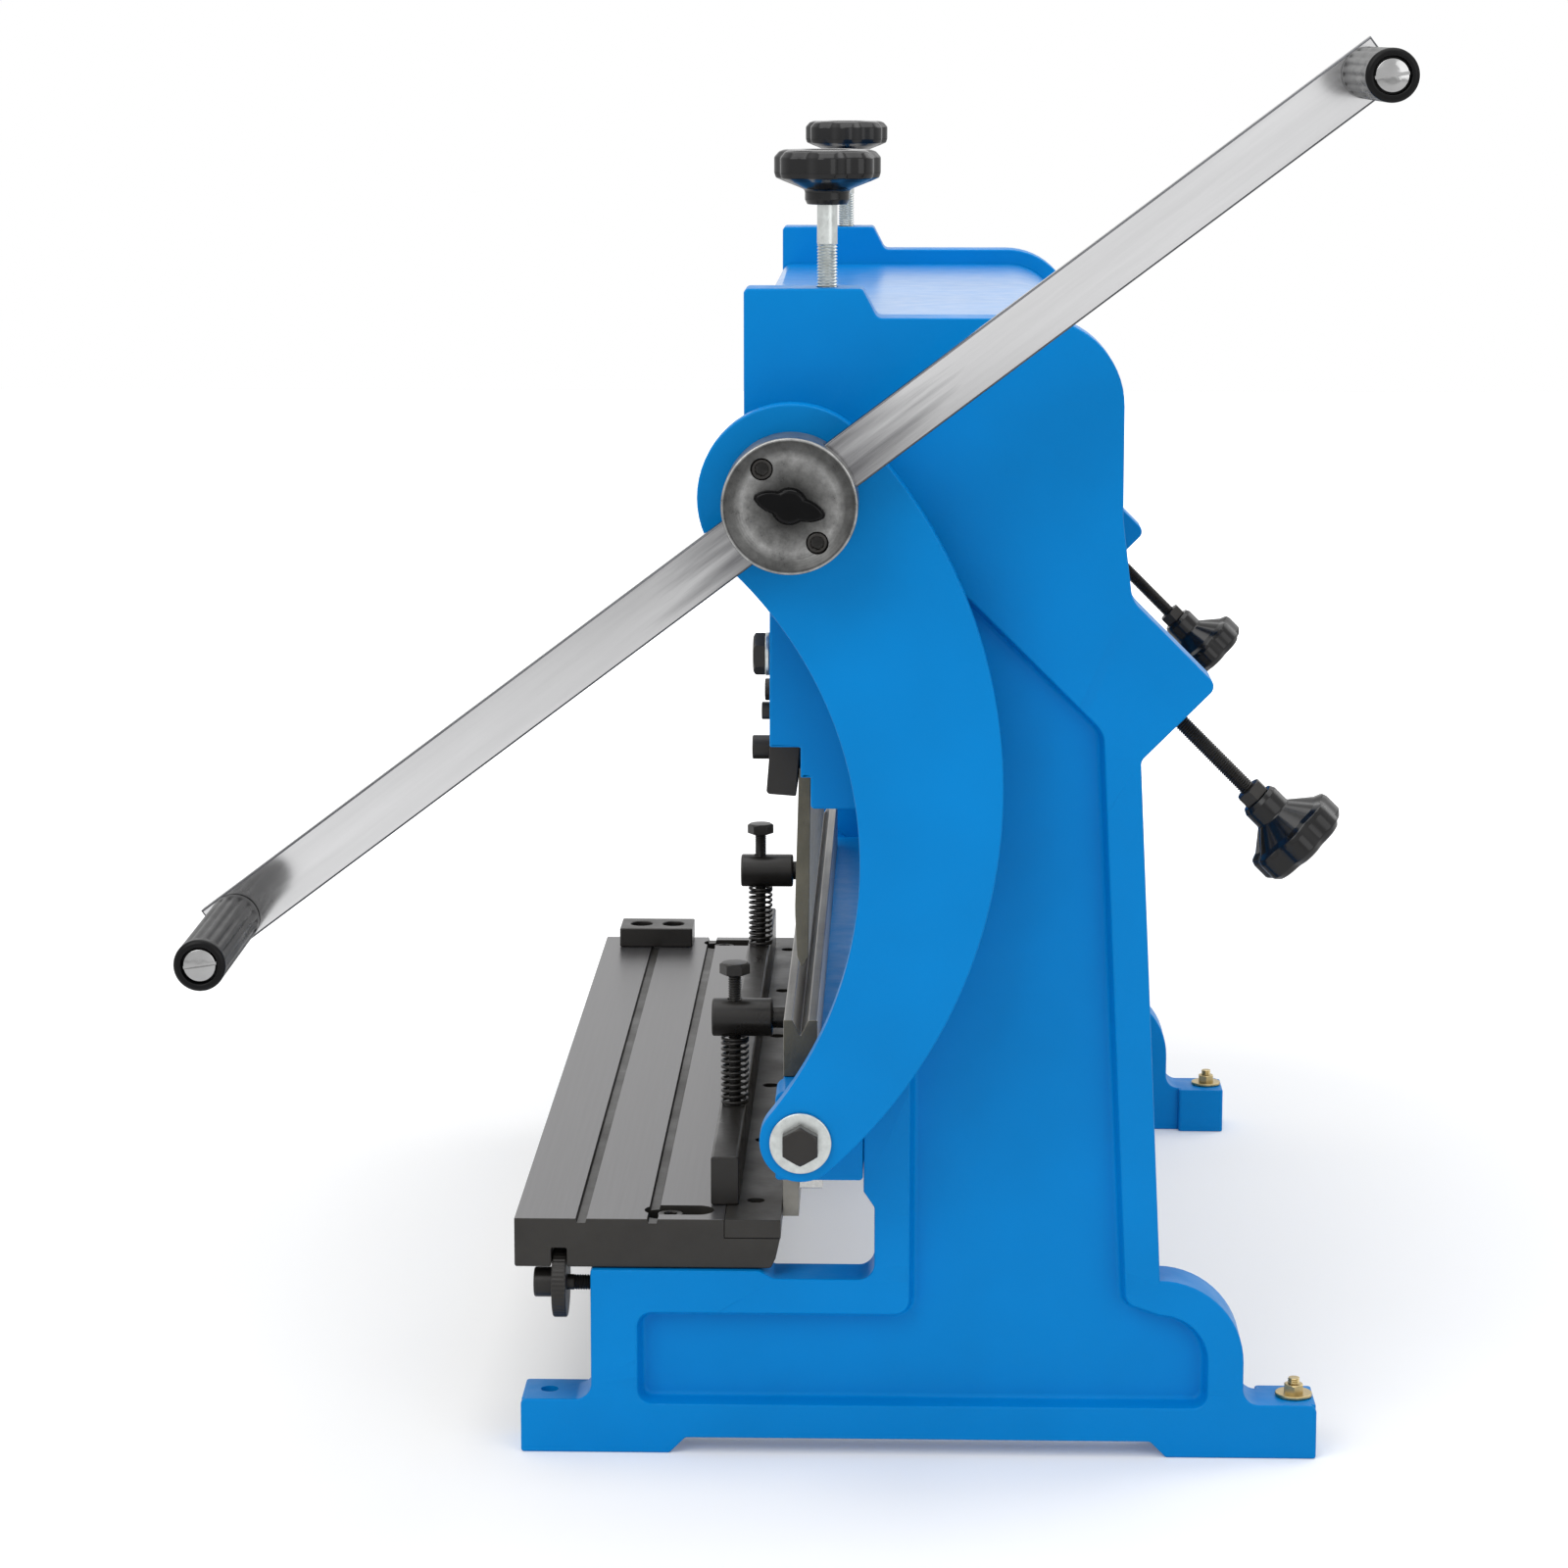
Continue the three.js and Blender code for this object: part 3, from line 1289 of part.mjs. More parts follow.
// Table adjusting screws: the flange turns in the table's notch, the thread in the frame's wall.
for (const [where, side] of sides) {
  const at = [adjusterZ, side * adjusterX];
  const flangeBack = tableNotchRear - seatGap;
  const flangeFront = flangeBack - adjusterFlangeWidth;
  const headFront = flangeFront - adjusterHeadLength;
  const body = join(
    rod("y", adjusterHead, headFront, flangeFront, at),
    rod("y", adjusterFlange, flangeFront, flangeBack, at, bigRound),
    rod("y", adjusterRadius, flangeFront, wallFront + adjusterDepth, at, smallRound),
  );
  const socket = rod("y", adjusterSocket, headFront - overrun, headFront + adjusterHeadLength / 2,
    at, 6);
  piece(`${where}_table_adjuster`, cut(body, socket), "blackOxide");
}

// Hold-down: a pressure bar on two posts that slide in cross barrels on the die
const pressureBase = tableTop + seatGap;
const pressureTop = pressureBase + pressureHeight;
const holdDown = new THREE.Group();
machine.add(holdDown);

function pressureBar() {
  const body = block([-bladeHalf, bladeHalf], [pressureFront, pressureRear],
    [pressureBase, pressureTop]);
  const posts = sides.map(([, side]) => {
    const at = [side * postX, postY];
    return join(
      rod("z", postRadius, pressureTop - overrun, postHeadBottom + overrun, at, smallRound),
      hexagon("z", postHeadFlats, postHeadBottom, postHeadBottom + postHeadHeight, at),
    );
  });
  return join(body, ...posts);
}
piece("pressure_bar", pressureBar(), "blackOxide", holdDown);

for (const [where, side] of sides) {
  const at = [barrelZ, side * postX];
  const body = join(
    rod("y", barrelRadius, barrelFront, barrelRear, at),
    rod("y", barrelNeck, barrelRear, dieFront + barrelNeckDepth, at, smallRound),
  );
  const bore = rod("z", postRadius + runGap, barrelZ - barrelRadius - overrun,
    barrelZ + barrelRadius + overrun, [side * postX, postY], smallRound);
  piece(`${where}_hold_down_barrel`, cut(body, bore), "blackOxide", ramGroupParts);
}

// Springs: one wire each, wound round a post, with a straight end at each seat
const springBottom = pressureTop + seatGap;
const springTop = barrelZ - barrelRadius - seatGap;
const springRise = (springTop - springBottom - 4 * springWire) / springTurns;

function springPath() {
  const steps = springTurns * springSteps;
  const low = springBottom + 2 * springWire;
  const points = [new THREE.Vector3(springRadius, 0, springBottom)];
  for (let i = 0; i <= steps; i += 1) {
    const angle = (i * 2 * Math.PI) / springSteps;
    const z = low + (springRise * i) / springSteps;
    points.push(new THREE.Vector3(springRadius * Math.cos(angle), springRadius * Math.sin(angle), z));
  }
  points.push(new THREE.Vector3(springRadius, 0, springTop));
  return points;
}

// A closed tube round a path: one ring of sides at each point and a cap at each end
function wireTube(path, radius, sidesOfWire) {
  const positions = [];
  const index = [];
  const up = new THREE.Vector3(0, 0, 1);
  path.forEach((at, i) => {
    const ahead = path[Math.min(i + 1, path.length - 1)];
    const behind = path[Math.max(i - 1, 0)];
    const along = ahead.clone().sub(behind).normalize();
    const outward = new THREE.Vector3(at.x, at.y, 0).normalize();
    const aside = along.clone().cross(outward).normalize();
    const across = i === 0 || i === path.length - 1 ? outward : aside.clone().cross(along);
    const other = i === 0 || i === path.length - 1 ? up.clone().cross(outward) : aside;
    for (let k = 0; k < sidesOfWire; k += 1) {
      const angle = (k * 2 * Math.PI) / sidesOfWire;
      const point = at.clone().addScaledVector(across, radius * Math.cos(angle));
      point.addScaledVector(other, radius * Math.sin(angle));
      positions.push(...point.toArray());
    }
  });
  for (let i = 0; i + 1 < path.length; i += 1) {
    for (let k = 0; k < sidesOfWire; k += 1) {
      const [a, b] = [i * sidesOfWire + k, i * sidesOfWire + ((k + 1) % sidesOfWire)];
      index.push(a, b, a + sidesOfWire, b, b + sidesOfWire, a + sidesOfWire);
    }
  }
  const last = (path.length - 1) * sidesOfWire;
  for (let k = 1; k + 1 < sidesOfWire; k += 1) {
    index.push(0, k + 1, k, last, last + k, last + k + 1);
  }
  const geometry = new THREE.BufferGeometry();
  geometry.setAttribute("position", new THREE.Float32BufferAttribute(positions, 3));
  geometry.setIndex(index);
  return solid(geometry);
}

// The least gap between turns, measured between points of the path a turn or so apart
function leastGap(path, radius) {
  let least = Infinity;
  path.forEach((a, i) => {
    path.slice(i + springSteps / 2 + 1).forEach((b) => {
      least = Math.min(least, a.distanceTo(b) - 2 * radius);
    });
  });
  return least;
}
console.log(`least gap of a spring to itself: ${leastGap(springPath(), springWire).toFixed(2)} mm`);

for (const [where, side] of sides) {
  const spring = piece(`${where}_hold_down_spring`, wireTube(springPath(), springWire, springSides),
    "blackOxide", ramGroupParts);
  spring.position.set(side * postX, postY, 0);
}

// The group's origin is on the bench under the middle of everything that the machine spans.
const nearReach = gripEnd;
const farReach = linkBack + linkThickness + seatGap + linkWasherThickness + linkBoltHead;
machine.position.x = (Math.max(farReach, farStubEnd) - nearReach) / 2;

export default machine;
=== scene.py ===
"""Looks of a bench slip roll machine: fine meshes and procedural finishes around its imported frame.

Sizes are in millimetres and X starts at the machine's mid-plane; add() brings each mesh to the
frame's own metres and X."""
from functools import partial
from itertools import product
from math import acos, atan2, ceil, cos, hypot, pi, radians, sin, sqrt, tan, tau

import bmesh
import bpy
from mathutils import Matrix, Vector


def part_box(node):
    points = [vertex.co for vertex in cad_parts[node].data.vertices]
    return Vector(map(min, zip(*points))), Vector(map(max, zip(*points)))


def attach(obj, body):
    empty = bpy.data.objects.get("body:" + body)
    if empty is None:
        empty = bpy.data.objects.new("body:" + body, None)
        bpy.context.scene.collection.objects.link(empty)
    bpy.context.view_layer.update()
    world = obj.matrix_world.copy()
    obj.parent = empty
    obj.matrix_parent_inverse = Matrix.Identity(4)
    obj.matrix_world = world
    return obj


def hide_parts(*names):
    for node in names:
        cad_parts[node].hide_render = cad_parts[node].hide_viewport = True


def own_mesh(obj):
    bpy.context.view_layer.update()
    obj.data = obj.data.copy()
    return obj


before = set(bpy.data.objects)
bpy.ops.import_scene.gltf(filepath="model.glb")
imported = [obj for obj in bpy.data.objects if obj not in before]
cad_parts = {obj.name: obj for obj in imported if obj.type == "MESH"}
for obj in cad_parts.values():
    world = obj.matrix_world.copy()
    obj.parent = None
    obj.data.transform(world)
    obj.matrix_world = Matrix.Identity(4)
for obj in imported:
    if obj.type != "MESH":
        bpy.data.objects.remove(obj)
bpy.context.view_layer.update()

MM = 0.001
MIDDLE_X = (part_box("near_side_frame")[1].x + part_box("far_side_frame")[0].x) / 2 / MM
SIDES = (("near", 1), ("far", -1))

# Facets and what is welded in a mesh
ROUND = 64
SMALL_ROUND = 32
THIN_ROUND = 24
ARC_STEP = radians(6)
WIDE_ARC_STEP = radians(1.5)
WELD = 1e-3
FINE_WELD = 1e-4

# Shared sizes
INNER = 306.0
CASTING = 28.0
OUTER = INNER + CASTING
BED_END = 305.0
FINGERS_END = 304.8
CRANK_Z = 484.0
BAR_ANGLE = radians(37)
SEAT_GAP = 0.3
OVERRUN = 2.0
FOOT_BOLT_Y = 250
SIDE_BOLT_X = 320
BEAM_BOLT_Z = 402
ADJUSTER_Z = 84
TABLE_BOLT_X = OUTER - 20
TABLE_BOLT_Y = -62
POST_X = 196.5
POST_Y = -34.4
BARREL_Z = 191.2

# Camera, solved from the photograph, whose camera is level and shifted down. This one is pitched
# instead, so that a view from any side keeps the whole machine.
CAMERA_DISTANCE = 2032.2
CAMERA_Y = 54.3
CAMERA_Z = 703.1
CAMERA_PITCH = radians(9.067)
CAMERA_YAW = radians(1.661)
CAMERA_LENS = 97.366
CAMERA_SENSOR = 36.0
CAMERA_SHIFT = -0.05


def stand(name, data):
    made = bpy.data.objects.new(name, data)
    bpy.context.scene.collection.objects.link(made)
    return made


def set_camera():
    data = bpy.data.cameras.new("camera")
    data.lens = CAMERA_LENS
    data.sensor_width = CAMERA_SENSOR
    data.shift_y = CAMERA_SHIFT
    data.clip_end = 20.0
    camera = stand("camera", data)
    place = (MIDDLE_X + OUTER + CAMERA_DISTANCE, CAMERA_Y, CAMERA_Z)
    camera.location = [v * MM for v in place]
    camera.rotation_euler = (radians(90) - CAMERA_PITCH, 0, radians(90) + CAMERA_YAW)
    bpy.context.scene.camera = camera


# Materials

FINISHES = {}


def srgb(r, g, b):
    """A colour as written in eight-bit values, in the linear values that a shader takes."""
    def linear(v):
        v /= 255
        return v / 12.92 if v <= 0.04045 else ((v + 0.055) / 1.055) ** 2.4
    return (linear(r), linear(g), linear(b), 1.0)


def grey(value):
    return (value, value, value, 1)


def tone(colour, factor):
    return tuple(min(1.0, c * factor) for c in colour[:3]) + (1.0,)


def fill(tree, socket, value):
    """Links an input to another node's output, or gives it a plain value."""
    if isinstance(value, bpy.types.NodeSocket):
        tree.links.new(value, socket)
    else:
        socket.default_value = value


def feed(tree, target, **values):
    for name, value in values.items():
        fill(tree, target.inputs[name.replace("_", " ")], value)


def node(tree, kind, *feeds, **values):
    """A node with its settings and named inputs from values, and its first inputs from feeds."""
    made = tree.nodes.new(kind)
    for key, value in values.items():
        if key in made.inputs:
            fill(tree, made.inputs[key], value)
        else:
            setattr(made, key, value)
    for socket, value in zip(made.inputs, feeds):
        fill(tree, socket, value)
    return made


def reckon(tree, operation, *feeds):
    return node(tree, "ShaderNodeMath", *feeds, operation=operation).outputs[0]


def place_in(tree):
    """The shaded point in the piece's own metres."""
    return tree.nodes.new("ShaderNodeTexCoord").outputs["Object"]


def ramp(tree, source, stops):
    """A colour ramp over a 0 to 1 signal."""
    made = node(tree, "ShaderNodeValToRGB", source)
    elements = made.color_ramp.elements
    elements[0].position, elements[0].color = stops[0]
    elements[1].position, elements[1].color = stops[-1]
    for position, colour in stops[1:-1]:
        elements.new(position).color = colour
    return made.outputs["Color"]


def noise(tree, scale, detail=4.0, roughness=0.5, stretch=(1, 1, 1), lean=(0, 0, 0)):
    """Noise over the piece's own place, stretched along an axis where asked."""
    mapping = node(tree, "ShaderNodeMapping", vector_type="TEXTURE", Vector=place_in(tree),
                   Scale=tuple(1 / v for v in stretch), Rotation=lean)
    made = node(tree, "ShaderNodeTexNoise", Vector=mapping.outputs["Vector"], Scale=scale,
                Detail=detail, Roughness=roughness)
    return made.outputs["Fac"]


def bump(tree, signal, strength, distance, **under):
    made = node(tree, "ShaderNodeBump", Height=signal, Strength=strength, Distance=distance,
                **under)
    return made.outputs["Normal"]


def multiplied(tree, first, second):
    mix = node(tree, "ShaderNodeMix", data_type="RGBA", blend_type="MULTIPLY", Factor=1.0)
    fill(tree, mix.inputs[6], first)
    fill(tree, mix.inputs[7], second)
    return mix.outputs[2]


def crank_share(tree, reach):
    """The distance from the crank's axis as a share of a reach, seen along the machine."""
    flat = node(tree, "ShaderNodeVectorMath", place_in(tree), (0, 1, 1), operation="MULTIPLY")
    away = node(tree, "ShaderNodeVectorMath", flat.outputs["Vector"], (0, 0, CRANK_Z * MM),
                operation="DISTANCE")
    return reckon(tree, "MULTIPLY", away.outputs["Value"], 1 / (reach * MM))


def finish(name, metallic=0.0, **sockets):
    """Makes a principled material and gives its node tree and its shader."""
    material = bpy.data.materials.new(name)
    material.use_nodes = True
    FINISHES[name] = material
    shader = material.node_tree.nodes["Principled BSDF"]
    feed(material.node_tree, shader, Metallic=metallic, **sockets)
    return material.node_tree, shader


def blue_paint(name, coat):
    tree, shader = finish(name, Coat_Weight=coat, Coat_Roughness=0.15, Specular_IOR_Level=0.08)
    colour = srgb(0, 129, 204)
    base = ramp(tree, noise(tree, 9, 3), [(0.3, tone(colour, 0.92)), (0.7, tone(colour, 1.07))])
    wave = noise(tree, 70, 2)
    rough = ramp(tree, wave, [(0.3, grey(0.3)), (0.75, grey(0.42))])
    grain = bump(tree, noise(tree, 420, 3, 0.6), 0.16, 0.0004)
    feed(tree, shader, Base_Color=base, Roughness=rough,
         Normal=bump(tree, wave, 0.25, 0.0012, Normal=grain))


def steel(name, rgb, low, high, grain, spots=0.0, lustre=1.0, streaks=1.0, **run):
    """Bare or plated metal: streaks in its tone, roughness and surface, run along an axis."""
    tree, shader = finish(name, metallic=lustre)
    colour = srgb(*rgb)
    streak = noise(tree, grain, 5, 0.6, **run)
    cloud = noise(tree, 22, 4, 0.6) if spots else streak
    dark = tone(colour, 0.72 if spots else 1 - 0.12 * streaks)
    base = ramp(tree, cloud, [(0.32, dark), (0.66, tone(colour, 1 + 0.1 * streaks))])
    rough = ramp(tree, streak, [(0.25, grey(low)), (0.8, grey(high))])
    normal = bump(tree, streak, 0.12 * streaks, 0.0002)
    if spots:
        normal = bump(tree, noise(tree, 900, 3), spots, 0.0002, Normal=normal)
    feed(tree, shader, Base_Color=base, Roughness=rough, Normal=normal)
    return tree, shader


def bar_chrome(name):
    """Chrome brushed along the bar, darkened in streaks towards the hub by painted shade."""
    run = {"stretch": (1, 0.05, 1), "lean": (BAR_ANGLE, 0, 0)}
    tree, shader = steel(name, (214, 214, 215), 0.09, 0.16, 110, streaks=0.6, **run)
    base = shader.inputs["Base Color"].links[0].from_socket
    # Painted shade: the base colour darkens in streaks the nearer it lies to the hub's axis.
    painted_hub_shade = reckon(tree, "MULTIPLY_ADD", noise(tree, 190, 4, 0.6, **run), 0.9,
                   crank_share(tree, 160))
    shade = ramp(tree, painted_hub_shade, [(0.55, (0.34, 0.34, 0.35, 1)), (0.98, grey(1))])
    feed(tree, shader, Base_Color=multiplied(tree, base, shade))


def dished_steel(name):
    """The hub's turned face, by the distance from its axis: painted reflection makes a dark middle
    and a dark mottled ring, and a painted highlight makes a bright rim.
    """
    tree, shader = finish(name, metallic=0.6)
    share = crank_share(tree, 33)
    # Painted light by radius: the wing's reflection darkens the middle, a dark reflection darkens
    # the dish's slope, and a highlight lights the thin rim.
    stops = ((0.3, 56), (0.5, 104), (0.68, 142), (0.8, 84), (0.925, 70), (0.94, 140), (0.955, 176),
             (0.967, 118))
    shade = ramp(tree, share, [(at, srgb(v, v, v - 1)) for at, v in stops])
    cloud = noise(tree, 150, 5, 0.7)
    mottle = ramp(tree, cloud, [(0.3, grey(0.5)), (0.7, grey(1.2))])
    rough = ramp(tree, cloud, [(0.3, grey(0.26)), (0.8, grey(0.42))])
    wave = reckon(tree, "SINE", reckon(tree, "MULTIPLY", share, 170.0))
    rings = bump(tree, wave, 0.1, 0.0001)
    feed(tree, shader, Base_Color=multiplied(tree, shade, mottle), Roughness=rough,
         Normal=bump(tree, cloud, 0.2, 0.0004, Normal=rings))


def dark_finish(name, rgb, low, high, grain, strength, lustre=0.0, shine=0.5):
    """Blackened steel or moulded plastic: a fine even grain with a little cloud in its gloss."""
    tree, shader = finish(name, metallic=lustre, Specular_IOR_Level=shine)
    colour = srgb(*rgb)
    cloud = noise(tree, 35, 4, 0.6)
    base = ramp(tree, cloud, [(0.3, tone(colour, 0.8)), (0.7, tone(colour, 1.25))])
    rough = ramp(tree, cloud, [(0.3, grey(low)), (0.7, grey(high))])
    feed(tree, shader, Base_Color=base, Roughness=rough,
         Normal=bump(tree, noise(tree, grain, 3), strength, 0.0002))


ALONG_X = (0.02, 1, 1)
blue_paint("blue_paint", 0.02)
blue_paint("cover_paint", 0.7)
steel("raw_steel", (150, 147, 139), 0.35, 0.6, 160, spots=0.5)
# The fingers' darker steel, also used as painted shade on the V-die's end faces.
steel("finger_steel_and_die_end_shade", (102, 99, 88), 0.38, 0.6, 160, spots=0.5)
steel("die_steel", (132, 130, 126), 0.26, 0.44, 500, spots=0.1, stretch=ALONG_X)
steel("ground_steel", (190, 190, 188), 0.2, 0.34, 700, stretch=ALONG_X)
steel("table_steel", (112, 111, 112), 0.3, 0.36, 500, lustre=0.8, stretch=ALONG_X)
# A darker copy of the bar's chrome for its sides and rounded edges: painted shade.
steel("chrome_edge_painted_shade", (84, 85, 88), 0.12, 0.2, 900)
steel("polished_steel", (176, 176, 176), 0.1, 0.2, 130, spots=0.12)
steel("zinc_plate", (200, 204, 202), 0.26, 0.42, 300)
steel("yellow_zinc", (184, 166, 122), 0.28, 0.42, 300)
steel("bearing_bronze", (176, 130, 74), 0.3, 0.45, 300)
bar_chrome("chrome_plate")
dished_steel("hub_steel")
dark_finish("black_steel", (46, 44, 41), 0.32, 0.5, 260, 0.25, 0.1, 0.36)
dark_finish("black_oxide", (38, 36, 34), 0.26, 0.42, 500, 0.2, 0.2, 0.4)
dark_finish("black_plastic", (14, 14, 15), 0.14, 0.24, 700, 0.08, shine=0.34)
dark_finish("grip_plastic", (13, 13, 14), 0.24, 0.36, 700, 0.08, shine=0.14)
dark_finish("black_gloss", (8, 8, 9), 0.05, 0.12, 90, 0.3, shine=0.14)


# Outlines

def arc(u, v, radius, start, end, step=ARC_STEP):
    steps = max(1, ceil(abs(end - start) / step))
    angles = [start + (end - start) * i / steps for i in range(steps + 1)]
    return [(u + radius * cos(a), v + radius * sin(a)) for a in angles]


def hole(u, v, radius, step=ARC_STEP):
    """A round loop, clockwise, as the holes of a plate are."""
    return arc(u, v, radius, tau, 0, step)[:-1]


def rectangle(low_u, low_v, high_u, high_v):
    return [(low_u, low_v), (high_u, low_v), (high_u, high_v), (low_u, high_v)]


def rounded(corners, closed=True, step=ARC_STEP):
    """A path from its corners; a corner's third value is the radius of its fillet."""
    points = []
    for i, corner in enumerate(corners):
        at = Vector(corner[:2])
        radius = corner[2] if len(corner) > 2 else 0
        if not radius or (not closed and i in (0, len(corners) - 1)):
            points.append(tuple(at))
            continue
        back = (Vector(corners[i - 1][:2]) - at).normalized()
        ahead = (Vector(corners[(i + 1) % len(corners)][:2]) - at).normalized()
        half = acos(max(-1, min(1, back.dot(ahead)))) / 2
        reach = radius / tan(half)
        centre = at + (back + ahead).normalized() * radius / sin(half)
        first = at + back * reach - centre
        last = at + ahead * reach - centre
        sweep = atan2(first.x * last.y - first.y * last.x, first.dot(last))
        start = atan2(first.y, first.x)
        points += arc(centre.x, centre.y, radius, start, start + sweep, step)
    return points


def grown(points, distance):
    """A closed loop moved outwards by a small distance, for a loop that runs anticlockwise."""
    moved = []
    for i, point in enumerate(points):
        back = Vector(point) - Vector(points[i - 1])
        ahead = Vector(points[(i + 1) % len(points)]) - Vector(point)
        first = Vector((back.y, -back.x)).normalized()
        last = Vector((ahead.y, -ahead.x)).normalized()
        middle = (first + last).normalized()
        moved.append(tuple(Vector(point) + middle * distance / max(0.3, middle.dot(first))))
    return moved


def tilted(at, up, along, aside):
    """A point beside a place, measured along a direction and across it."""
    return at[0] + up[0] * along - up[1] * aside, at[1] + up[1] * along + up[0] * aside


def lay(axis, u, v, w):
    """A drawing's two directions and its depth: (Y, Z) along X, (Z, X) along Y, (X, Y) along Z."""
    return {"x": Vector((w, u, v)), "y": Vector((v, w, u)), "z": Vector((u, v, w))}[axis]


# Solids

def faced(bm):
    """Turns the faces of closed shells outwards."""
    bmesh.ops.recalc_face_normals(bm, faces=bm.faces)
    return bm


def skin(loops, closed=False):
    """A closed solid through loops of points; a loop of one point is a tip."""
    bm = bmesh.new()
    rings = [[bm.verts.new(point) for point in loop] for loop in loops]
    pairs = list(zip(rings, rings[1:])) + ([(rings[-1], rings[0])] if closed else [])
    for low, high in pairs:
        for i in range(max(len(low), len(high))):
            corners = [low[(i - 1) % len(low)], low[i % len(low)],
                       high[i % len(high)], high[(i - 1) % len(high)]]
            corners = list(dict.fromkeys(corners))
            if len(corners) > 2:
                bm.faces.new(corners)
    for end in () if closed else (rings[0], rings[-1]):
        if len(end) > 2:
            bm.faces.new(end)
    return faced(bm)


def loft(axis, levels):
    """A closed solid through loops of equally many points, each at its own depth."""
    return skin([[lay(axis, u, v, w) for u, v in loop] for loop, w in levels])


def plate(axis, loops, start, end, edge=0.5):
    """An outline with its holes, extruded, and every edge of its two faces rounded."""
    curve = bpy.data.curves.new("outline", "CURVE")
    curve.dimensions = "2D"
    curve.fill_mode = "BOTH"
    curve.extrude = abs(end - start) / 2 - edge
    curve.bevel_depth = edge
    curve.bevel_resolution = 2
    curve.offset = -edge
    for loop in loops:
        spline = curve.splines.new("POLY")
        spline.points.add(len(loop) - 1)
        for point, (u, v) in zip(spline.points, loop):
            point.co = (u, v, 0, 1)
        spline.use_cyclic_u = True
    holder = bpy.data.objects.new("outline", curve)
    mesh = bpy.data.meshes.new_from_object(holder)
    bm = bmesh.new()
    bm.from_mesh(mesh)
    for vert in bm.verts:
        vert.co = lay(axis, vert.co.x, vert.co.y, vert.co.z + (start + end) / 2)
    bpy.data.objects.remove(holder)
    bpy.data.meshes.remove(mesh)
    bmesh.ops.remove_doubles(bm, verts=bm.verts, dist=WELD)
    return faced(bm)


def bar_along(corners, start, end, edge=0.5):
    """A bar along X from the corners of its section."""
    return plate("x", [rounded(corners)], start, end, edge)


def turned(axis, corners, at=(0, 0), count=ROUND, closed=False, shape=None):
    """A turned piece from (radius, place, fillet) corners; shape gives each point its radius."""
    loops = []
    for radius, w in rounded(corners, closed, radians(22.5)):
        if radius < 1e-6:
            loops.append([lay(axis, *at, w)])
            continue
        loop = []
        for i in range(count):
            angle = i * tau / count
            r = shape(angle, radius, w) if shape else radius
            loop.append(lay(axis, at[0] + r * cos(angle), at[1] + r * sin(angle), w))
        loops.append(loop)
    return skin(loops, closed)


def rod(axis, radius, start, end, at=(0, 0), edge=0.0, count=ROUND):
    low, high = sorted((start, end))
    return turned(axis, [(0, low), (radius, low, edge), (radius, high, edge), (0, high)], at, count)


small_rod = partial(rod, count=SMALL_ROUND)
thin_rod = partial(rod, count=THIN_ROUND)


def ring(axis, outer, inner, start, end, at=(0, 0), edge=0.4):
    low, high = sorted((start, end))
    corners = [(outer, low, edge), (outer, high, edge), (inner, high, edge), (inner, low, edge)]
    return turned(axis, corners, at, closed=True)


def block(x, y, z):
    bm = bmesh.new()
    corners = [bm.verts.new(p) for p in product(x, y, z)]
    for face in ((0, 1, 3, 2), (4, 6, 7, 5), (0, 4, 5, 1), (2, 3, 7, 6), (0, 2, 6, 4),
                 (1, 5, 7, 3)):
        bm.faces.new([corners[i] for i in face])
    return faced(bm)


def hexagon(flats, twist=0.0):
    """The radius of a hexagon across its flats, by angle."""
    def radius_at(angle):
        return flats / 2 / cos((angle + twist) % (pi / 3) - pi / 6)
    return radius_at


def hex_head(axis, flats, base, top, at=(0, 0), twist=0.0):
    """A hexagon head or nut whose outer face is chamfered by a cone."""
    side = hexagon(flats, twist)
    away = 1 if top > base else -1
    cone_start, cone_slope, base_inset = 0.94, 1.73, 0.25

    def shape(angle, radius, w):
        if radius < flats / 3:
            return radius
        cone = flats / 2 * cone_start + abs(top - w) * cone_slope
        return min(side(angle), cone) - (base_inset if w == base else 0)
    levels = [base, base + away * 0.3]
    levels += [top - away * step for step in (1.6, 1.0, 0.6, 0.25, 0)]
    corners = [(0, base), *((flats / 2, w) for w in levels), (0, top)]
    return turned(axis, corners, at, 96, shape=shape)


def cap_screw(axis, radius, base, top, socket, depth, at=(0, 0), edge=0.7):
    """A cap screw's head with its hexagon socket."""
    side = hexagon(socket * 2)
    away = 1 if top > base else -1

    def shape(angle, r, w):
        return side(angle) if abs(r - socket) < 1e-6 else r
    corners = [(0, base), (radius, base), (radius, top, edge), (socket + 0.5, top),
               (socket, top - away * 0.5), (socket, top - away * depth),
               (0, top - away * (depth + 0.8))]
    return turned(axis, corners, at, 48, shape=shape)


def thread(axis, radius, low, high, pitch, at=(0, 0)):
    """A screw's thread: one ridge that climbs by the pitch in each turn."""
    depth = pitch * 0.55
    steps = ceil(abs(high - low) / pitch * 8)

    def shape(angle, r, w):
        if r < radius / 2:
            return r
        phase = (w / pitch - angle / tau) % 1
        return radius - depth * abs(2 * phase - 1)
    side = [(radius, low + (high - low) * i / steps) for i in range(steps + 1)]
    return turned(axis, [(0, low), *side, (0, high)], at, THIN_ROUND, shape=shape)


def mesh_of(name, bm):
    mesh = bpy.data.meshes.new(name)
    bm.to_mesh(mesh)
    bm.free()
    return mesh


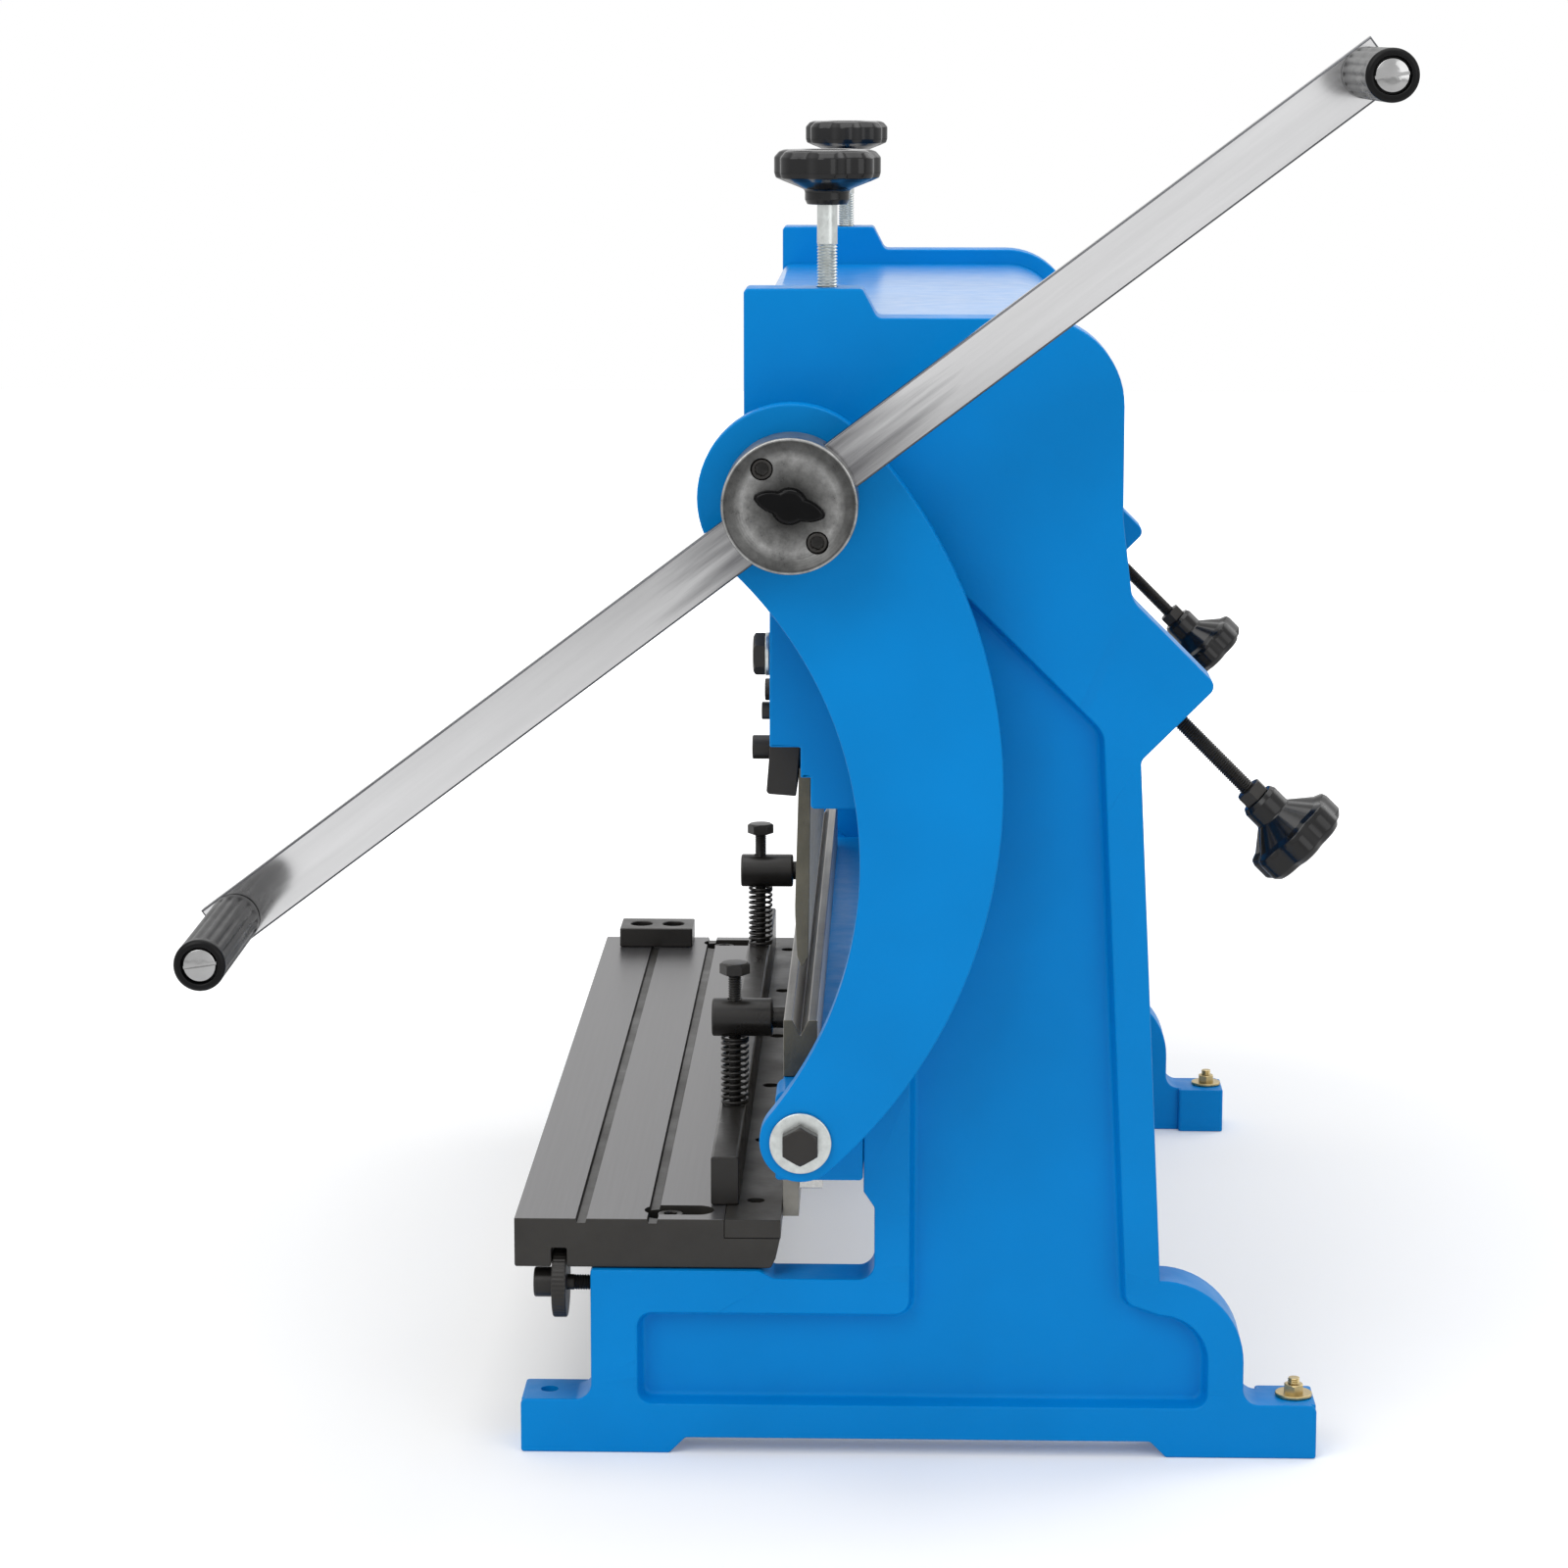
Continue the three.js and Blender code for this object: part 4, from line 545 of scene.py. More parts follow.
def shaped(base, cuts=(), joins=()):
    """A solid joined with some and cut by others."""
    holder = stand("base", mesh_of("base", base))
    helpers = []
    for operation, tools in (("UNION", joins), ("DIFFERENCE", cuts)):
        for tool in tools:
            helpers.append(stand("tool", mesh_of("tool", tool)))
            modifier = holder.modifiers.new("boolean", "BOOLEAN")
            modifier.operation = operation
            modifier.solver = "EXACT"
            modifier.object = helpers[-1]
    graph = bpy.context.evaluated_depsgraph_get()
    mesh = bpy.data.meshes.new_from_object(holder.evaluated_get(graph))
    bm = bmesh.new()
    bm.from_mesh(mesh)
    for spent in [holder, *helpers]:
        bpy.data.objects.remove(spent)
    bmesh.ops.remove_doubles(bm, verts=bm.verts, dist=FINE_WELD)
    return bm


def placed(bm, matrix):
    bmesh.ops.transform(bm, matrix=matrix, verts=bm.verts)
    return bm


def merged(*parts):
    """Separate closed shells that lie against each other in one mesh."""
    whole = bmesh.new()
    for part in parts:
        mesh = mesh_of("part", part)
        whole.from_mesh(mesh)
        bpy.data.meshes.remove(mesh)
    return whole


ROW = Matrix.Diagonal((MM, MM, MM, 1)) @ Matrix.Translation((MIDDLE_X, 0, 0))


def add(name, bm, look, body, stands_for=None, bevel=0.0, smooth=40, matrix=None, second=None):
    """Makes a piece of the machine from a mesh; second is the look of faces marked 1."""
    if matrix:
        placed(bm, matrix)
    placed(bm, ROW)
    mesh = mesh_of(name, bm)
    for each in (look, second) if second else (look,):
        mesh.materials.append(FINISHES[each])
    mesh.shade_smooth()
    mesh.set_sharp_from_angle(angle=radians(smooth))
    made = stand(name, mesh)
    if bevel:
        modifier = made.modifiers.new("edges", "BEVEL")
        modifier.width = bevel * MM
        modifier.segments = 2
        modifier.limit_method = "ANGLE"
        modifier.angle_limit = radians(35)
        modifier.use_clamp_overlap = False
    weighted = made.modifiers.new("normals", "WEIGHTED_NORMAL")
    weighted.keep_sharp = not bevel
    if stands_for:
        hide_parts(stands_for)
    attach(made, body)
    return made


# Side frames

CROWN = (116.4, 524.2, 42.3)  # centre and radius of the top's rear curve
CROWN_TOP = 566.5
HEEL = (181.6, 49.0)
FOOT_X = (INNER - 5 + OUTER) / 2
BOSS_END = OUTER + 23
ROLL_RADIUS = 19
ROLL_SPACING = 39
ROLL_REAR = (68.0, 490.0)
ROLL_UPPER = (15.7, CRANK_Z + sqrt(ROLL_SPACING ** 2 - 15.7 ** 2))
SCREW_X = 318.4
BLOCK = (28, 32)  # a bearing block's size along its slide and across it
BLOCK_END = INNER + 17.4
REAR_UP = (-sqrt(0.5), sqrt(0.5))
REAR_FACE = ((168.8 - 352) - (ROLL_REAR[0] - ROLL_REAR[1])) * sqrt(0.5)


def frame_outline():
    return rounded([
        (-136.3, 0, 1.5), (-62, 0, 2), (-54, 8, 3), (177.6, 8, 3), (185.6, 0, 2), (260.2, 0, 1.5),
        (260.2, 27.5, 4), (223.6, 27.5, 8), *arc(*HEEL, 42, 0, pi / 2), (168.8, 352, 5),
        (205.4, 388.8, 5), (163.6, 430.6, 14), (158.7, 470, 30), *arc(*CROWN, 0, pi / 2),
        (40.1, CROWN_TOP, 4), (32.9, 580.5, 2.5),
        (-24, 580.5, 2.5), (-24, 443.6, 2), (34.7, 443.6, 1), (34.7, 135.4, 1.5), (40.1, 127.4, 3),
        (40.1, 90.5, 8), (-9.8, 90.5, 3), (-17, 94.3, 3), (-101, 94.3, 1.5), (-101, 27.5, 8),
        (-136.3, 27.5, 3),
    ])


def panel_tool(side):
    """The sunk panel: a soft edge at its mouth, drafted walls and a rounded foot."""
    loop = rounded([
        (-77.4, 25.7, 7), (205.5, 25.7, 7), *arc(*HEEL, 24, 0, pi / 2), (164.5, 79, 7),
        (150.2, 366, 14), (57.9, 457, 14), (57.9, 72.2, 8), (-77.4, 72.2, 7),
    ])
    levels = ((2.5, -OVERRUN), (1.4, -0.05), (0.55, 0.35), (0.1, 1.1),
              (-1.2, 7.4), (-1.75, 8.7), (-2.7, 9.65), (-3.9, 10))
    return loft("x", [(grown(loop, growth), side * (OUTER - depth)) for growth, depth in levels])


def pocket(side, at, up, fall, rise):
    """The pocket in which a roll's bearing block slides down and up."""
    end, half = BLOCK[0] / 2 + SEAT_GAP, BLOCK[1] / 2 + SEAT_GAP
    corners = rectangle(-end - fall, -half, end + rise, half)
    loop = [tilted(at, up, *corner) for corner in corners]
    return loft("x", [(loop, side * (INNER - OVERRUN)), (loop, side * (INNER + 18))])


def slope(bm, x):
    """Places a piece that was drawn along Z on the rear screw's slope, down and to the rear."""
    placed(bm, Matrix.Rotation(-3 * pi / 4, 4, "X"))
    return placed(bm, Matrix.Translation((x, *ROLL_REAR)))


def side_frame(side):
    inner, outer, boss_end = side * INNER, side * OUTER, side * BOSS_END
    foot_in, foot_out = side * (INNER - 5), side * (OUTER - 2)
    crank_at = (0, CRANK_Z)
    pads = [plate("z", [rounded([(foot_in, start, 2), (foot_out, start, 1.5), (foot_out, end, 1.5),
                                 (foot_in, end, 2)])], 0.05, 27.4, 0.8)
            for start, end in ((-136, -101.5), (231.7, 260))]
    flare = [(0, outer - side * 3), (34, outer - side * 3), (34, outer)]
    flare += [(34 + 6 * cos(a), outer + side * (6 + 6 * sin(a)))
              for a in (-2.0, -2.4, -2.8, -pi)]
    boss = turned("x", flare + [(28, boss_end, 1.5), (0, boss_end)], crank_at)
    start, step, end = inner - side * 8, inner + side * 2.8, outer + side * 30
    bore = turned("x", [(0, start), (21.3, start), (21.3, step), (17.3, step), (17.3, end),
                        (0, end)], crank_at, 72)
    return shaped(plate("x", [frame_outline()], inner, outer, 1.0), joins=[*pads, boss], cuts=[
        panel_tool(side),
        bore,
        pocket(side, ROLL_UPPER, (0, 1), 0, 8),
        pocket(side, ROLL_REAR, REAR_UP, 10, 18),
        small_rod("z", 5.5, ROLL_UPPER[1], 590, (side * SCREW_X, ROLL_UPPER[0])),
        slope(small_rod("z", 4.5, 0, REAR_FACE + OVERRUN), side * SCREW_X),
        block(sorted((inner - side * OVERRUN, inner + side * 5.9)), (46, 54), (139, 205)),
        *[small_rod("z", 4.5, -OVERRUN, 30, (side * FOOT_X, y)) for y in (-123, FOOT_BOLT_Y)],
        small_rod("z", 4.3, 72, 96, (side * TABLE_BOLT_X, TABLE_BOLT_Y)),
        small_rod("y", 4.3, -103, -79, (ADJUSTER_Z, side * SIDE_BOLT_X)),
        small_rod("y", 5.3, 32, 54.7, (BEAM_BOLT_Z, side * SIDE_BOLT_X)),
    ])


for where, side in SIDES:
    add(f"{where}_frame_casting", side_frame(side), "blue_paint", "frame", f"{where}_side_frame")


# Bolts of the feet and of the front beam

for where, side in SIDES:
    at = (side * FOOT_X, FOOT_BOLT_Y)
    bolt = merged(hex_head("z", 9, 29.4, 33.9, at), thread("z", 3, 31, 36.9, 1, at),
                  ring("z", 9.25, 3.4, 27.8, 29.4, at), thin_rod("z", 2.9, 6.9, 30, at))
    add(f"{where}_foot_bolt_and_washer", bolt, "yellow_zinc", "frame", f"{where}_rear_foot_bolt")
    at = (BEAM_BOLT_Z, side * SIDE_BOLT_X)
    bolt = merged(hex_head("y", 18, -14, -20, at), small_rod("y", 5, -14, 52.7, at))
    add(f"{where}_beam_bolt_head", bolt, "black_oxide", "frame", f"{where}_beam_bolt")
    add(f"{where}_beam_washer", ring("y", 10.5, 5.2, -14, -12, at), "zinc_plate", "frame")
    stop = cap_screw("y", 4.3, -11.8, -15.8, 2.1, 2.4, (374.3, side * (OUTER - 12)), 0.4)
    add(f"{where}_beam_stop_screw", stop, "black_oxide", "frame")


# Top cover, which lies lower than the frames' crowns

COVER_DROP = 9
COVER_SHEET = 3


def top_cover():
    outer = CROWN[2] - COVER_DROP
    tail = pi / 2 - 0.9
    top = CROWN_TOP - COVER_DROP
    return bar_along([
        (-24, top - 14), (-24 + COVER_SHEET, top - 14), (-24 + COVER_SHEET, top - COVER_SHEET, 3),
        *arc(*CROWN[:2], outer - COVER_SHEET, pi / 2, tail, radians(3)),
        *arc(*CROWN[:2], outer, tail, pi / 2, radians(3)), (-24, top, 6),
    ], -INNER + SEAT_GAP, INNER - SEAT_GAP, 0.7)


add("bent_top_cover", top_cover(), "cover_paint", "frame", "top_cover")


# Front beam with its hollow back, and the brake fingers that it carries

FINGER_WIDTHS = (50.8, 76.2, 101.6, 127.0, 254.0)
SCREW_PLACES = (-280.5, -93.5, 93.5, 280.5)
SCREW_Z = 349.2


def front_beam():
    beam = bar_along([(-11.7, 443.3, 2.5), (-11.7, 358, 1), (3.4, 358, 1), (3.4, 343, 0.5),
                      (8.3, 343, 0.5), (8.3, 327.6, 2), (34.4, 327.6, 2), (34.4, 443.3, 1.5)],
                     -OUTER, OUTER, 1.3)
    hollow = rounded([(10, 374, 4), (38, 374), (38, 428), (10, 428, 4)])
    cuts = [loft("x", [(hollow, -284), (hollow, 284)])]
    cuts += [thin_rod("y", 4.3, 1, 20, (SCREW_Z, x)) for x in SCREW_PLACES]
    cuts += [thin_rod("y", 5.3, -16, 40, (BEAM_BOLT_Z, side * SIDE_BOLT_X)) for _, side in SIDES]
    return shaped(beam, cuts=cuts)


add("cast_front_beam", front_beam(), "blue_paint", "frame", "front_beam")

start = FINGERS_END
for i, width in enumerate(FINGER_WIDTHS, 1):
    finger = bar_along([(1.9, 342.7), (-0.1, 271, 60), (1.1, 248), (3.3, 242, 0.6), (6.7, 248),
                        (7.8, 342.7)], start - width, start - 0.4, 0.35)
    add(f"ground_brake_finger_{i}", finger, "finger_steel_and_die_end_shade", "frame", f"brake_finger_{i}")
    start -= width

clamp = bar_along([(-12.1, 357.7, 1.2), (-14.3, 329.7, 2), (0.5, 328.6, 0.8), (1.6, 342.7),
                   (3.1, 357.7, 0.5)], -FINGERS_END, FINGERS_END, 0.6)
add("clamp_bar", clamp, "black_oxide", "frame", "finger_clamp_bar")
for i, x in enumerate(SCREW_PLACES, 1):
    at = (SCREW_Z, x)
    screw = merged(cap_screw("y", 6, -12.4, -21.9, 3, 3.8, at), thin_rod("y", 4, -12.6, 15, at))
    add(f"clamp_cap_screw_{i}", screw, "black_oxide", "frame")


# Ram with its lugs, and what is fastened to it

PIN_AT = (4.5, 171.0)
LINK_BACK = OUTER + 27
LINK_FRONT = LINK_BACK + 13


def barrel_bores():
    return [small_rod("y", 5.9, -8, 0.5, (BARREL_Z, side * POST_X)) for _, side in SIDES]


def ram():
    body = bar_along([(2.3, 141), (34.4, 141, 2), (34.4, 186.1, 1.5), (-5.8, 186.1, 1.2),
                      (-5.8, 175, 1), (2.3, 175)], -INNER, INNER, 0.3)
    lugs = [bar_along([(-9, 141, 2), (34.4, 141, 2), (34.4, 186.1, 2), (-9, 186.1, 5)],
                      side * (INNER - 0.6), side * OUTER, 1.2) for _, side in SIDES]
    bosses = [rod("x", 15, side * (OUTER - 2), side * (LINK_BACK - SEAT_GAP), PIN_AT, 0.8)
              for _, side in SIDES]
    bores = [thin_rod("x", 5.3, side * (OUTER - 22), side * (LINK_BACK + 2), PIN_AT)
             for _, side in SIDES]
    seat = block((-BED_END - SEAT_GAP, BED_END + SEAT_GAP), (0.3, 14.3), (138, 145.5))
    return shaped(body, joins=[*lugs, *bosses], cuts=[seat, *bores, *barrel_bores()])


add("cast_ram", ram(), "blue_paint", "ram", "ram")

die = bar_along([(-5.8, 186.4, 0.5), (11.2, 186.4, 0.5), (11.2, 215.4, 0.8), (6.7, 215.4, 0.6),
                 (2.7, 207.4, 0.3), (-1.3, 215.4, 0.6), (-5.8, 215.4, 0.8)], -BED_END, BED_END, 0.4)
die = shaped(die, cuts=barrel_bores())
# The die's end faces take the fingers' darker steel, as painted shade on its ends.
for face in die.faces:
    face.material_index = int(abs(face.normal.x) > 0.9)
add("v_die", die, "die_steel", "ram", "brake_die", second="finger_steel_and_die_end_shade")

blade = [(114.6, BED_END), (174.7, BED_END), (174.7, -BED_END), (119.1, -BED_END)]
add("shear_upper_blade", plate("y", [blade], -6.1, 2.0, 0.25), "raw_steel", "ram", "upper_blade")
backing = plate("z", [rectangle(-BED_END, 2.4, BED_END, 14)], 129, 145.2)
add("blade_backing", backing, "ground_steel", "ram", "blade_backing_bar")
for where, side in SIDES:
    keeper = [(295.7, 34.7), (305.7, 34.7), (305.7, 46.3), (311.3, 46.3), (311.3, 53.4),
              (295.7, 53.4)]
    keeper = plate("z", [[(side * x, y) for x, y in keeper]], 141, 179)
    add(f"{where}_keeper", keeper, "raw_steel", "ram", f"{where}_ram_keeper")


# Links, the eccentric discs in them and the bolts that hold them to the ram

ECCENTRICITY = 12
DISC_Z = CRANK_Z - ECCENTRICITY


def circles_meet(a, b):
    """The further forward of the two points where circles meet."""
    (ay, az, ar), (by, bz, br) = a, b
    gap = hypot(by - ay, bz - az)
    along = (ar ** 2 - br ** 2 + gap ** 2) / (2 * gap)
    aside = -sqrt(ar ** 2 - along ** 2)
    return tilted((ay, az), ((by - ay) / gap, (bz - az) / gap), along, aside)


def link_outline():
    """A crescent between its two rounds: a wide outer arc and a narrower inner one."""
    top, bottom = (0, CRANK_Z), PIN_AT
    ring_r, boss_r, wide, narrow = 44.8, 20.0, 250.0, 196.0
    out = circles_meet((*top, wide - ring_r), (*bottom, wide - boss_r))
    inn = circles_meet((*top, narrow + ring_r), (*bottom, narrow + boss_r))

    def angle(start, end):
        return atan2(end[1] - start[1], end[0] - start[0])
    out_top, out_bottom = angle(out, top), angle(out, bottom)
    inn_top, inn_bottom = angle(inn, top), angle(inn, bottom)
    return [
        *arc(*out, wide, out_bottom, out_top, WIDE_ARC_STEP),
        *arc(*top, ring_r, out_top, inn_top + pi)[1:],
        *arc(*inn, narrow, inn_top, inn_bottom, WIDE_ARC_STEP)[1:],
        *arc(*bottom, boss_r, inn_bottom + pi, out_bottom + tau)[1:-1],
    ]


for where, side in SIDES:
    back, front = side * LINK_BACK, side * LINK_FRONT
    holes = [hole(0, DISC_Z, 22), hole(*PIN_AT, 5.3, radians(15))]
    link = plate("x", [link_outline(), *holes], back, front, 1.1)
    add(f"{where}_crescent_link", link, "blue_paint", "ram", f"{where}_link")
    slot_loop = arc(0, DISC_Z + ECCENTRICITY, 7.8, 0, pi)
    slot_loop += arc(0, DISC_Z - ECCENTRICITY, 7.8, pi, tau)
    disc = plate("x", [arc(0, DISC_Z, 21.7, 0, tau)[:-1], slot_loop], back, front, 0.6)
    add(f"{where}_eccentric_disc", disc, "raw_steel", "ram", f"{where}_eccentric")
    washer = ring("x", 15, 5.4, front + side * 0.3, front + side * 2.8, PIN_AT, 0.5)
    add(f"{where}_link_washer", washer, "zinc_plate", "ram")
    bolt = merged(hex_head("x", 17, front + side * 2.8, front + side * 9.8, PIN_AT, pi / 6),
                  small_rod("x", 5, side * (OUTER - 11), front + side * 2.9, PIN_AT))
    add(f"{where}_link_bolt_head", bolt, "black_oxide", "ram", f"{where}_link_bolt")


# Rolls and gears; the crank's pieces are drawn about its axis and lifted to it

AT_CRANK = Matrix.Translation((0, 0, CRANK_Z))
AT_UPPER = Matrix.Translation((0, *ROLL_UPPER))
AT_REAR = Matrix.Translation((0, *ROLL_REAR))
ROLL_END = INNER - 3
GEAR_IN = ROLL_END - 14.3
GEAR_OUT = ROLL_END - 0.3
GROOVES = ((2.5, 36), (2.0, 27), (1.5, 18))
TEETH = 26
SHAFT = 12.5
JOURNAL = 9
STUB = 7.5


def roll(far_end, journal, reach, grooved=False, stub=None):
    """A roll on its journals; stub is the radius of the ends beyond them and the place of each."""
    corners = [(journal, -reach, 0.5), (journal, -far_end), (ROLL_RADIUS, -far_end, 0.8)]
    for radius, back in GROOVES if grooved else ():
        middle = ROLL_END - back
        corners += [(ROLL_RADIUS - radius * sin(a), middle - radius * cos(a))
                    for a in [pi * k / 8 for k in range(9)]]
    corners += [(ROLL_RADIUS, ROLL_END, 0.8), (journal, ROLL_END), (journal, reach, 0.5)]
    if not stub:
        return turned("x", [(0, -reach), *corners, (0, reach)])
    radius, far, near = stub
    return turned("x", [(0, far), (radius, far, 0.8), (radius, -reach), *corners,
                        (radius, reach), (radius, near), (0, near)])


def gear(bore, phase):
    module = ROLL_SPACING / TEETH
    pitch = ROLL_SPACING / 2
    root, tip = pitch - 1.2 * module, pitch + 0.92 * module
    flank = [(root, 0.36), (root + 0.5, 0.3), (pitch, 0.23), (tip - 0.3, 0.13), (tip, 0.1)]
    tooth = [(r, -share) for r, share in flank] + flank[::-1]
    places = [(r, (i + share) * tau / TEETH + phase) for i in range(TEETH) for r, share in tooth]
    loop = [(r * cos(a), r * sin(a)) for r, a in places]
    return plate("x", [loop, hole(0, 0, bore + 0.3)], -GEAR_OUT, -GEAR_IN, 0.3)


mesh_angle = atan2(ROLL_UPPER[1] - CRANK_Z, ROLL_UPPER[0])
drive = roll(GEAR_IN - 0.3, SHAFT, BOSS_END, True, (STUB, -OUTER - 51, OUTER + 54.2))
add("ground_drive_roll", drive, "ground_steel", "crank", "drive_roll", matrix=AT_CRANK)
add("drive_gear_wheel", gear(SHAFT, mesh_angle), "raw_steel", "crank", "drive_gear",
    matrix=AT_CRANK)
add("ground_upper_roll", roll(GEAR_IN - 0.3, JOURNAL, BLOCK_END), "ground_steel", "upper_roll",
    "upper_roll", matrix=AT_UPPER)
add("upper_gear_wheel", gear(JOURNAL, mesh_angle + pi + pi / TEETH), "raw_steel",
    "upper_roll", "upper_gear", matrix=AT_UPPER)
add("ground_rear_roll", roll(ROLL_END, JOURNAL, BLOCK_END, True), "ground_steel", "rear_roll",
    "rear_roll", matrix=AT_REAR)


def bearing(side, up):
    """A roll's bearing block, drawn about the roll's axis."""
    end, half = BLOCK[0] / 2, BLOCK[1] / 2
    loop = [(*tilted((0, 0), up, *corner), 1.0) for corner in rectangle(-end, -half, end, half)]
    return plate("x", [rounded(loop), hole(0, 0, JOURNAL + 0.3)], side * (INNER + 0.3),
                 side * BLOCK_END)


for where, side in SIDES:
    bush = shaped(rod("x", 17, side * INNER, side * (BOSS_END - SEAT_GAP), edge=0.5),
                  joins=[rod("x", 21, side * INNER, side * (INNER + 2.5), edge=0.5)],
                  cuts=[rod("x", SHAFT + 0.3, side * (INNER - 2), side * (BOSS_END + 2))])
    add(f"{where}_bronze_bush", bush, "bearing_bronze", "frame", f"{where}_crank_bush",
        matrix=AT_CRANK)
    for place, up, matrix in (("upper", (0, 1), AT_UPPER), ("rear", REAR_UP, AT_REAR)):
        add(f"{where}_{place}_block", bearing(side, up), "bearing_bronze", f"{place}_carrier",
            f"{where}_{place}_bearing", matrix=matrix)
collar = ring("x", 14, STUB + 0.3, -(OUTER + 51), -(OUTER + 42), edge=0.8)
add("far_stub_collar", collar, "black_oxide", "crank", "far_shaft_collar", matrix=AT_CRANK)


# Crank: hub, bar and grips, drawn with the bar along Y

AT_BAR = AT_CRANK @ Matrix.Rotation(BAR_ANGLE, 4, "X")
HUB_BACK = OUTER + 42
HUB_FACE = HUB_BACK + 33
FLOOR = HUB_FACE - 3
SET_SCREWS = ((0, -21.5), (0, 21.5))
BAR_BACK = HUB_BACK + 16.5 - 4
BAR_FRONT = BAR_BACK + 8
BAR_HALF = 12.5
WING_ANGLE = radians(128)
WING_ROUNDS = ((0.0, 8.8), (13.4, 4.6), (-13.4, 4.6))
GRIP_REACH = 331.0
GRIP_RADIUS = 11.9
GRIP_BORE = 4.6
GRIP_BACK = BAR_FRONT + SEAT_GAP
GRIP_END = GRIP_BACK + 104
ENDS = (("front", -1), ("rear", 1))


add_to_crank = partial(add, body="crank", matrix=AT_BAR)


def held(value):
    return max(0.0, min(1.0, value))


def lobes(number, angle, power):
    """How deep a round piece is fluted by angle, from 0 on a crest to 1 in a flute."""
    return ((1 - cos(number * angle)) / 2) ** power


def hub():
    shell = turned("x", [(0, HUB_BACK), (32, HUB_BACK, 1.5), (32, HUB_FACE, 0.9),
                         (30.2, HUB_FACE, 0.6), (25.5, FLOOR + 0.9, 6), (21, FLOOR, 8),
                         (0, FLOOR)], count=96)
    wide = BAR_HALF + 0.3
    bar_slot = block((BAR_BACK - 0.3, BAR_FRONT + 0.3), (-34, 34), (-wide, wide))
    bore = small_rod("x", STUB + 0.3, HUB_BACK - 2, BAR_BACK)
    seats = [small_rod("x", 5.2, FLOOR - 6, FLOOR + 2, at) for at in SET_SCREWS]
    return shaped(shell, cuts=[bar_slot, bore, *seats])


def wing_radius(angle):
    """The wing's outline by angle: a round middle, two necked arms and their round ends."""
    best = 0.0
    for centre, radius in WING_ROUNDS:
        inside = radius ** 2 - (centre * sin(angle)) ** 2
        if inside > 0:
            best = max(best, centre * cos(angle) + sqrt(inside))
    neck = 3.5 / max(1e-6, abs(sin(angle)))
    return max(best, min(neck, 13.0 / max(1e-6, abs(cos(angle)))))


def wing():
    """Glossy centre piece, its outline softened and its face crowned."""
    count, near = 96, range(-4, 5)
    angles = [i * tau / count for i in range(count)]
    raw = [wing_radius(angle) for angle in angles]
    soft = [sum(raw[(i + k) % count] for k in near) / len(near) for i in range(count)]
    levels = []
    for inset, height in ((0.0, -0.4), (0.0, 1.5), (0.4, 2.6), (1.3, 3.6), (2.4, 4.1)):
        loop = [((r - inset) * cos(a + WING_ANGLE), (r - inset) * sin(a + WING_ANGLE))
                for r, a in zip(soft, angles)]
        levels.append((loop, FLOOR + height))
    return loft("x", levels)


add_to_crank("turned_crank_hub", hub(), "hub_steel", stands_for="crank_hub", bevel=0.3)
add_to_crank("hub_wing", wing(), "black_gloss", smooth=60)
for i, at in enumerate(SET_SCREWS, 1):
    screw = cap_screw("x", 4.8, FLOOR - 5.8, FLOOR + 0.5, 2.9, 5.2, at, 0.8)
    add_to_crank(f"hub_set_screw_{i}", screw, "black_oxide")

half_bar = GRIP_REACH + 11
bar_loop = rectangle(-half_bar, -BAR_HALF, half_bar, BAR_HALF)
pins = [thin_rod("x", GRIP_BORE - 0.4, BAR_BACK + 0.5, GRIP_END - 6, (end * GRIP_REACH, 0))
        for _, end in ENDS]
bar = plate("x", [bar_loop], BAR_BACK, BAR_FRONT, 0.9)
# The bar's sides and rounded edges take the darker chrome, as painted shade.
for face in bar.faces:
    face.material_index = int(abs(face.normal.x) < 0.97)
add_to_crank("flat_crank_bar", merged(bar, *pins), "chrome_plate", stands_for="crank_bar",
             second="chrome_edge_painted_shade")


def grip(y):
    """Ribbed plastic: flutes that fade out at a plain foot and a plain end."""
    def shape(angle, radius, w):
        if radius < 10.5:
            return radius
        fade = held(min(w - GRIP_BACK - 6, GRIP_END - 5 - w) / 2.5)
        return radius - 0.9 * fade * lobes(16, angle, 1.6)
    sides = [(GRIP_RADIUS, GRIP_BACK + v) for v in (5, 6.8, 8.5, 30, 55, 80, 96.5, 98, 99.5)]
    corners = [(GRIP_BORE, GRIP_BACK), (GRIP_RADIUS, GRIP_BACK, 1.2), *sides,
               (GRIP_RADIUS, GRIP_END - 1.2, 1.4), (10.4, GRIP_END, 1), (8.6, GRIP_END, 0.6),
               (8.1, GRIP_END - 3.6), (GRIP_BORE, GRIP_END - 3.6)]
    return turned("x", corners, (y, 0), 192, closed=True, shape=shape)


def grip_pin_head(y):
    """The slotted head in a grip's end: a crowned round with a slot across it."""
    base = GRIP_END - 3.2
    head = turned("x", [(0, base), (7.6, base, 0.2), (7.6, base + 2.0, 0.7), (4.4, base + 2.9, 6),
                        (0, base + 3.2)], (y, 0))
    slot_tool = block((base + 1.2, base + 5), (y - 12, y + 12), (-0.75, 0.75))
    axis = Matrix.Translation((0, y, 0))
    placed(slot_tool, axis @ Matrix.Rotation(-0.5, 4, "X") @ axis.inverted())
    return shaped(head, cuts=[slot_tool])


for where, end in ENDS:
    add(f"{where}_ribbed_grip", grip(end * GRIP_REACH), "grip_plastic", f"{where}_grip",
        f"{where}_grip", matrix=AT_BAR)
    add_to_crank(f"{where}_grip_pin_head", grip_pin_head(end * GRIP_REACH), "polished_steel")


# Star knobs and the screws that they turn

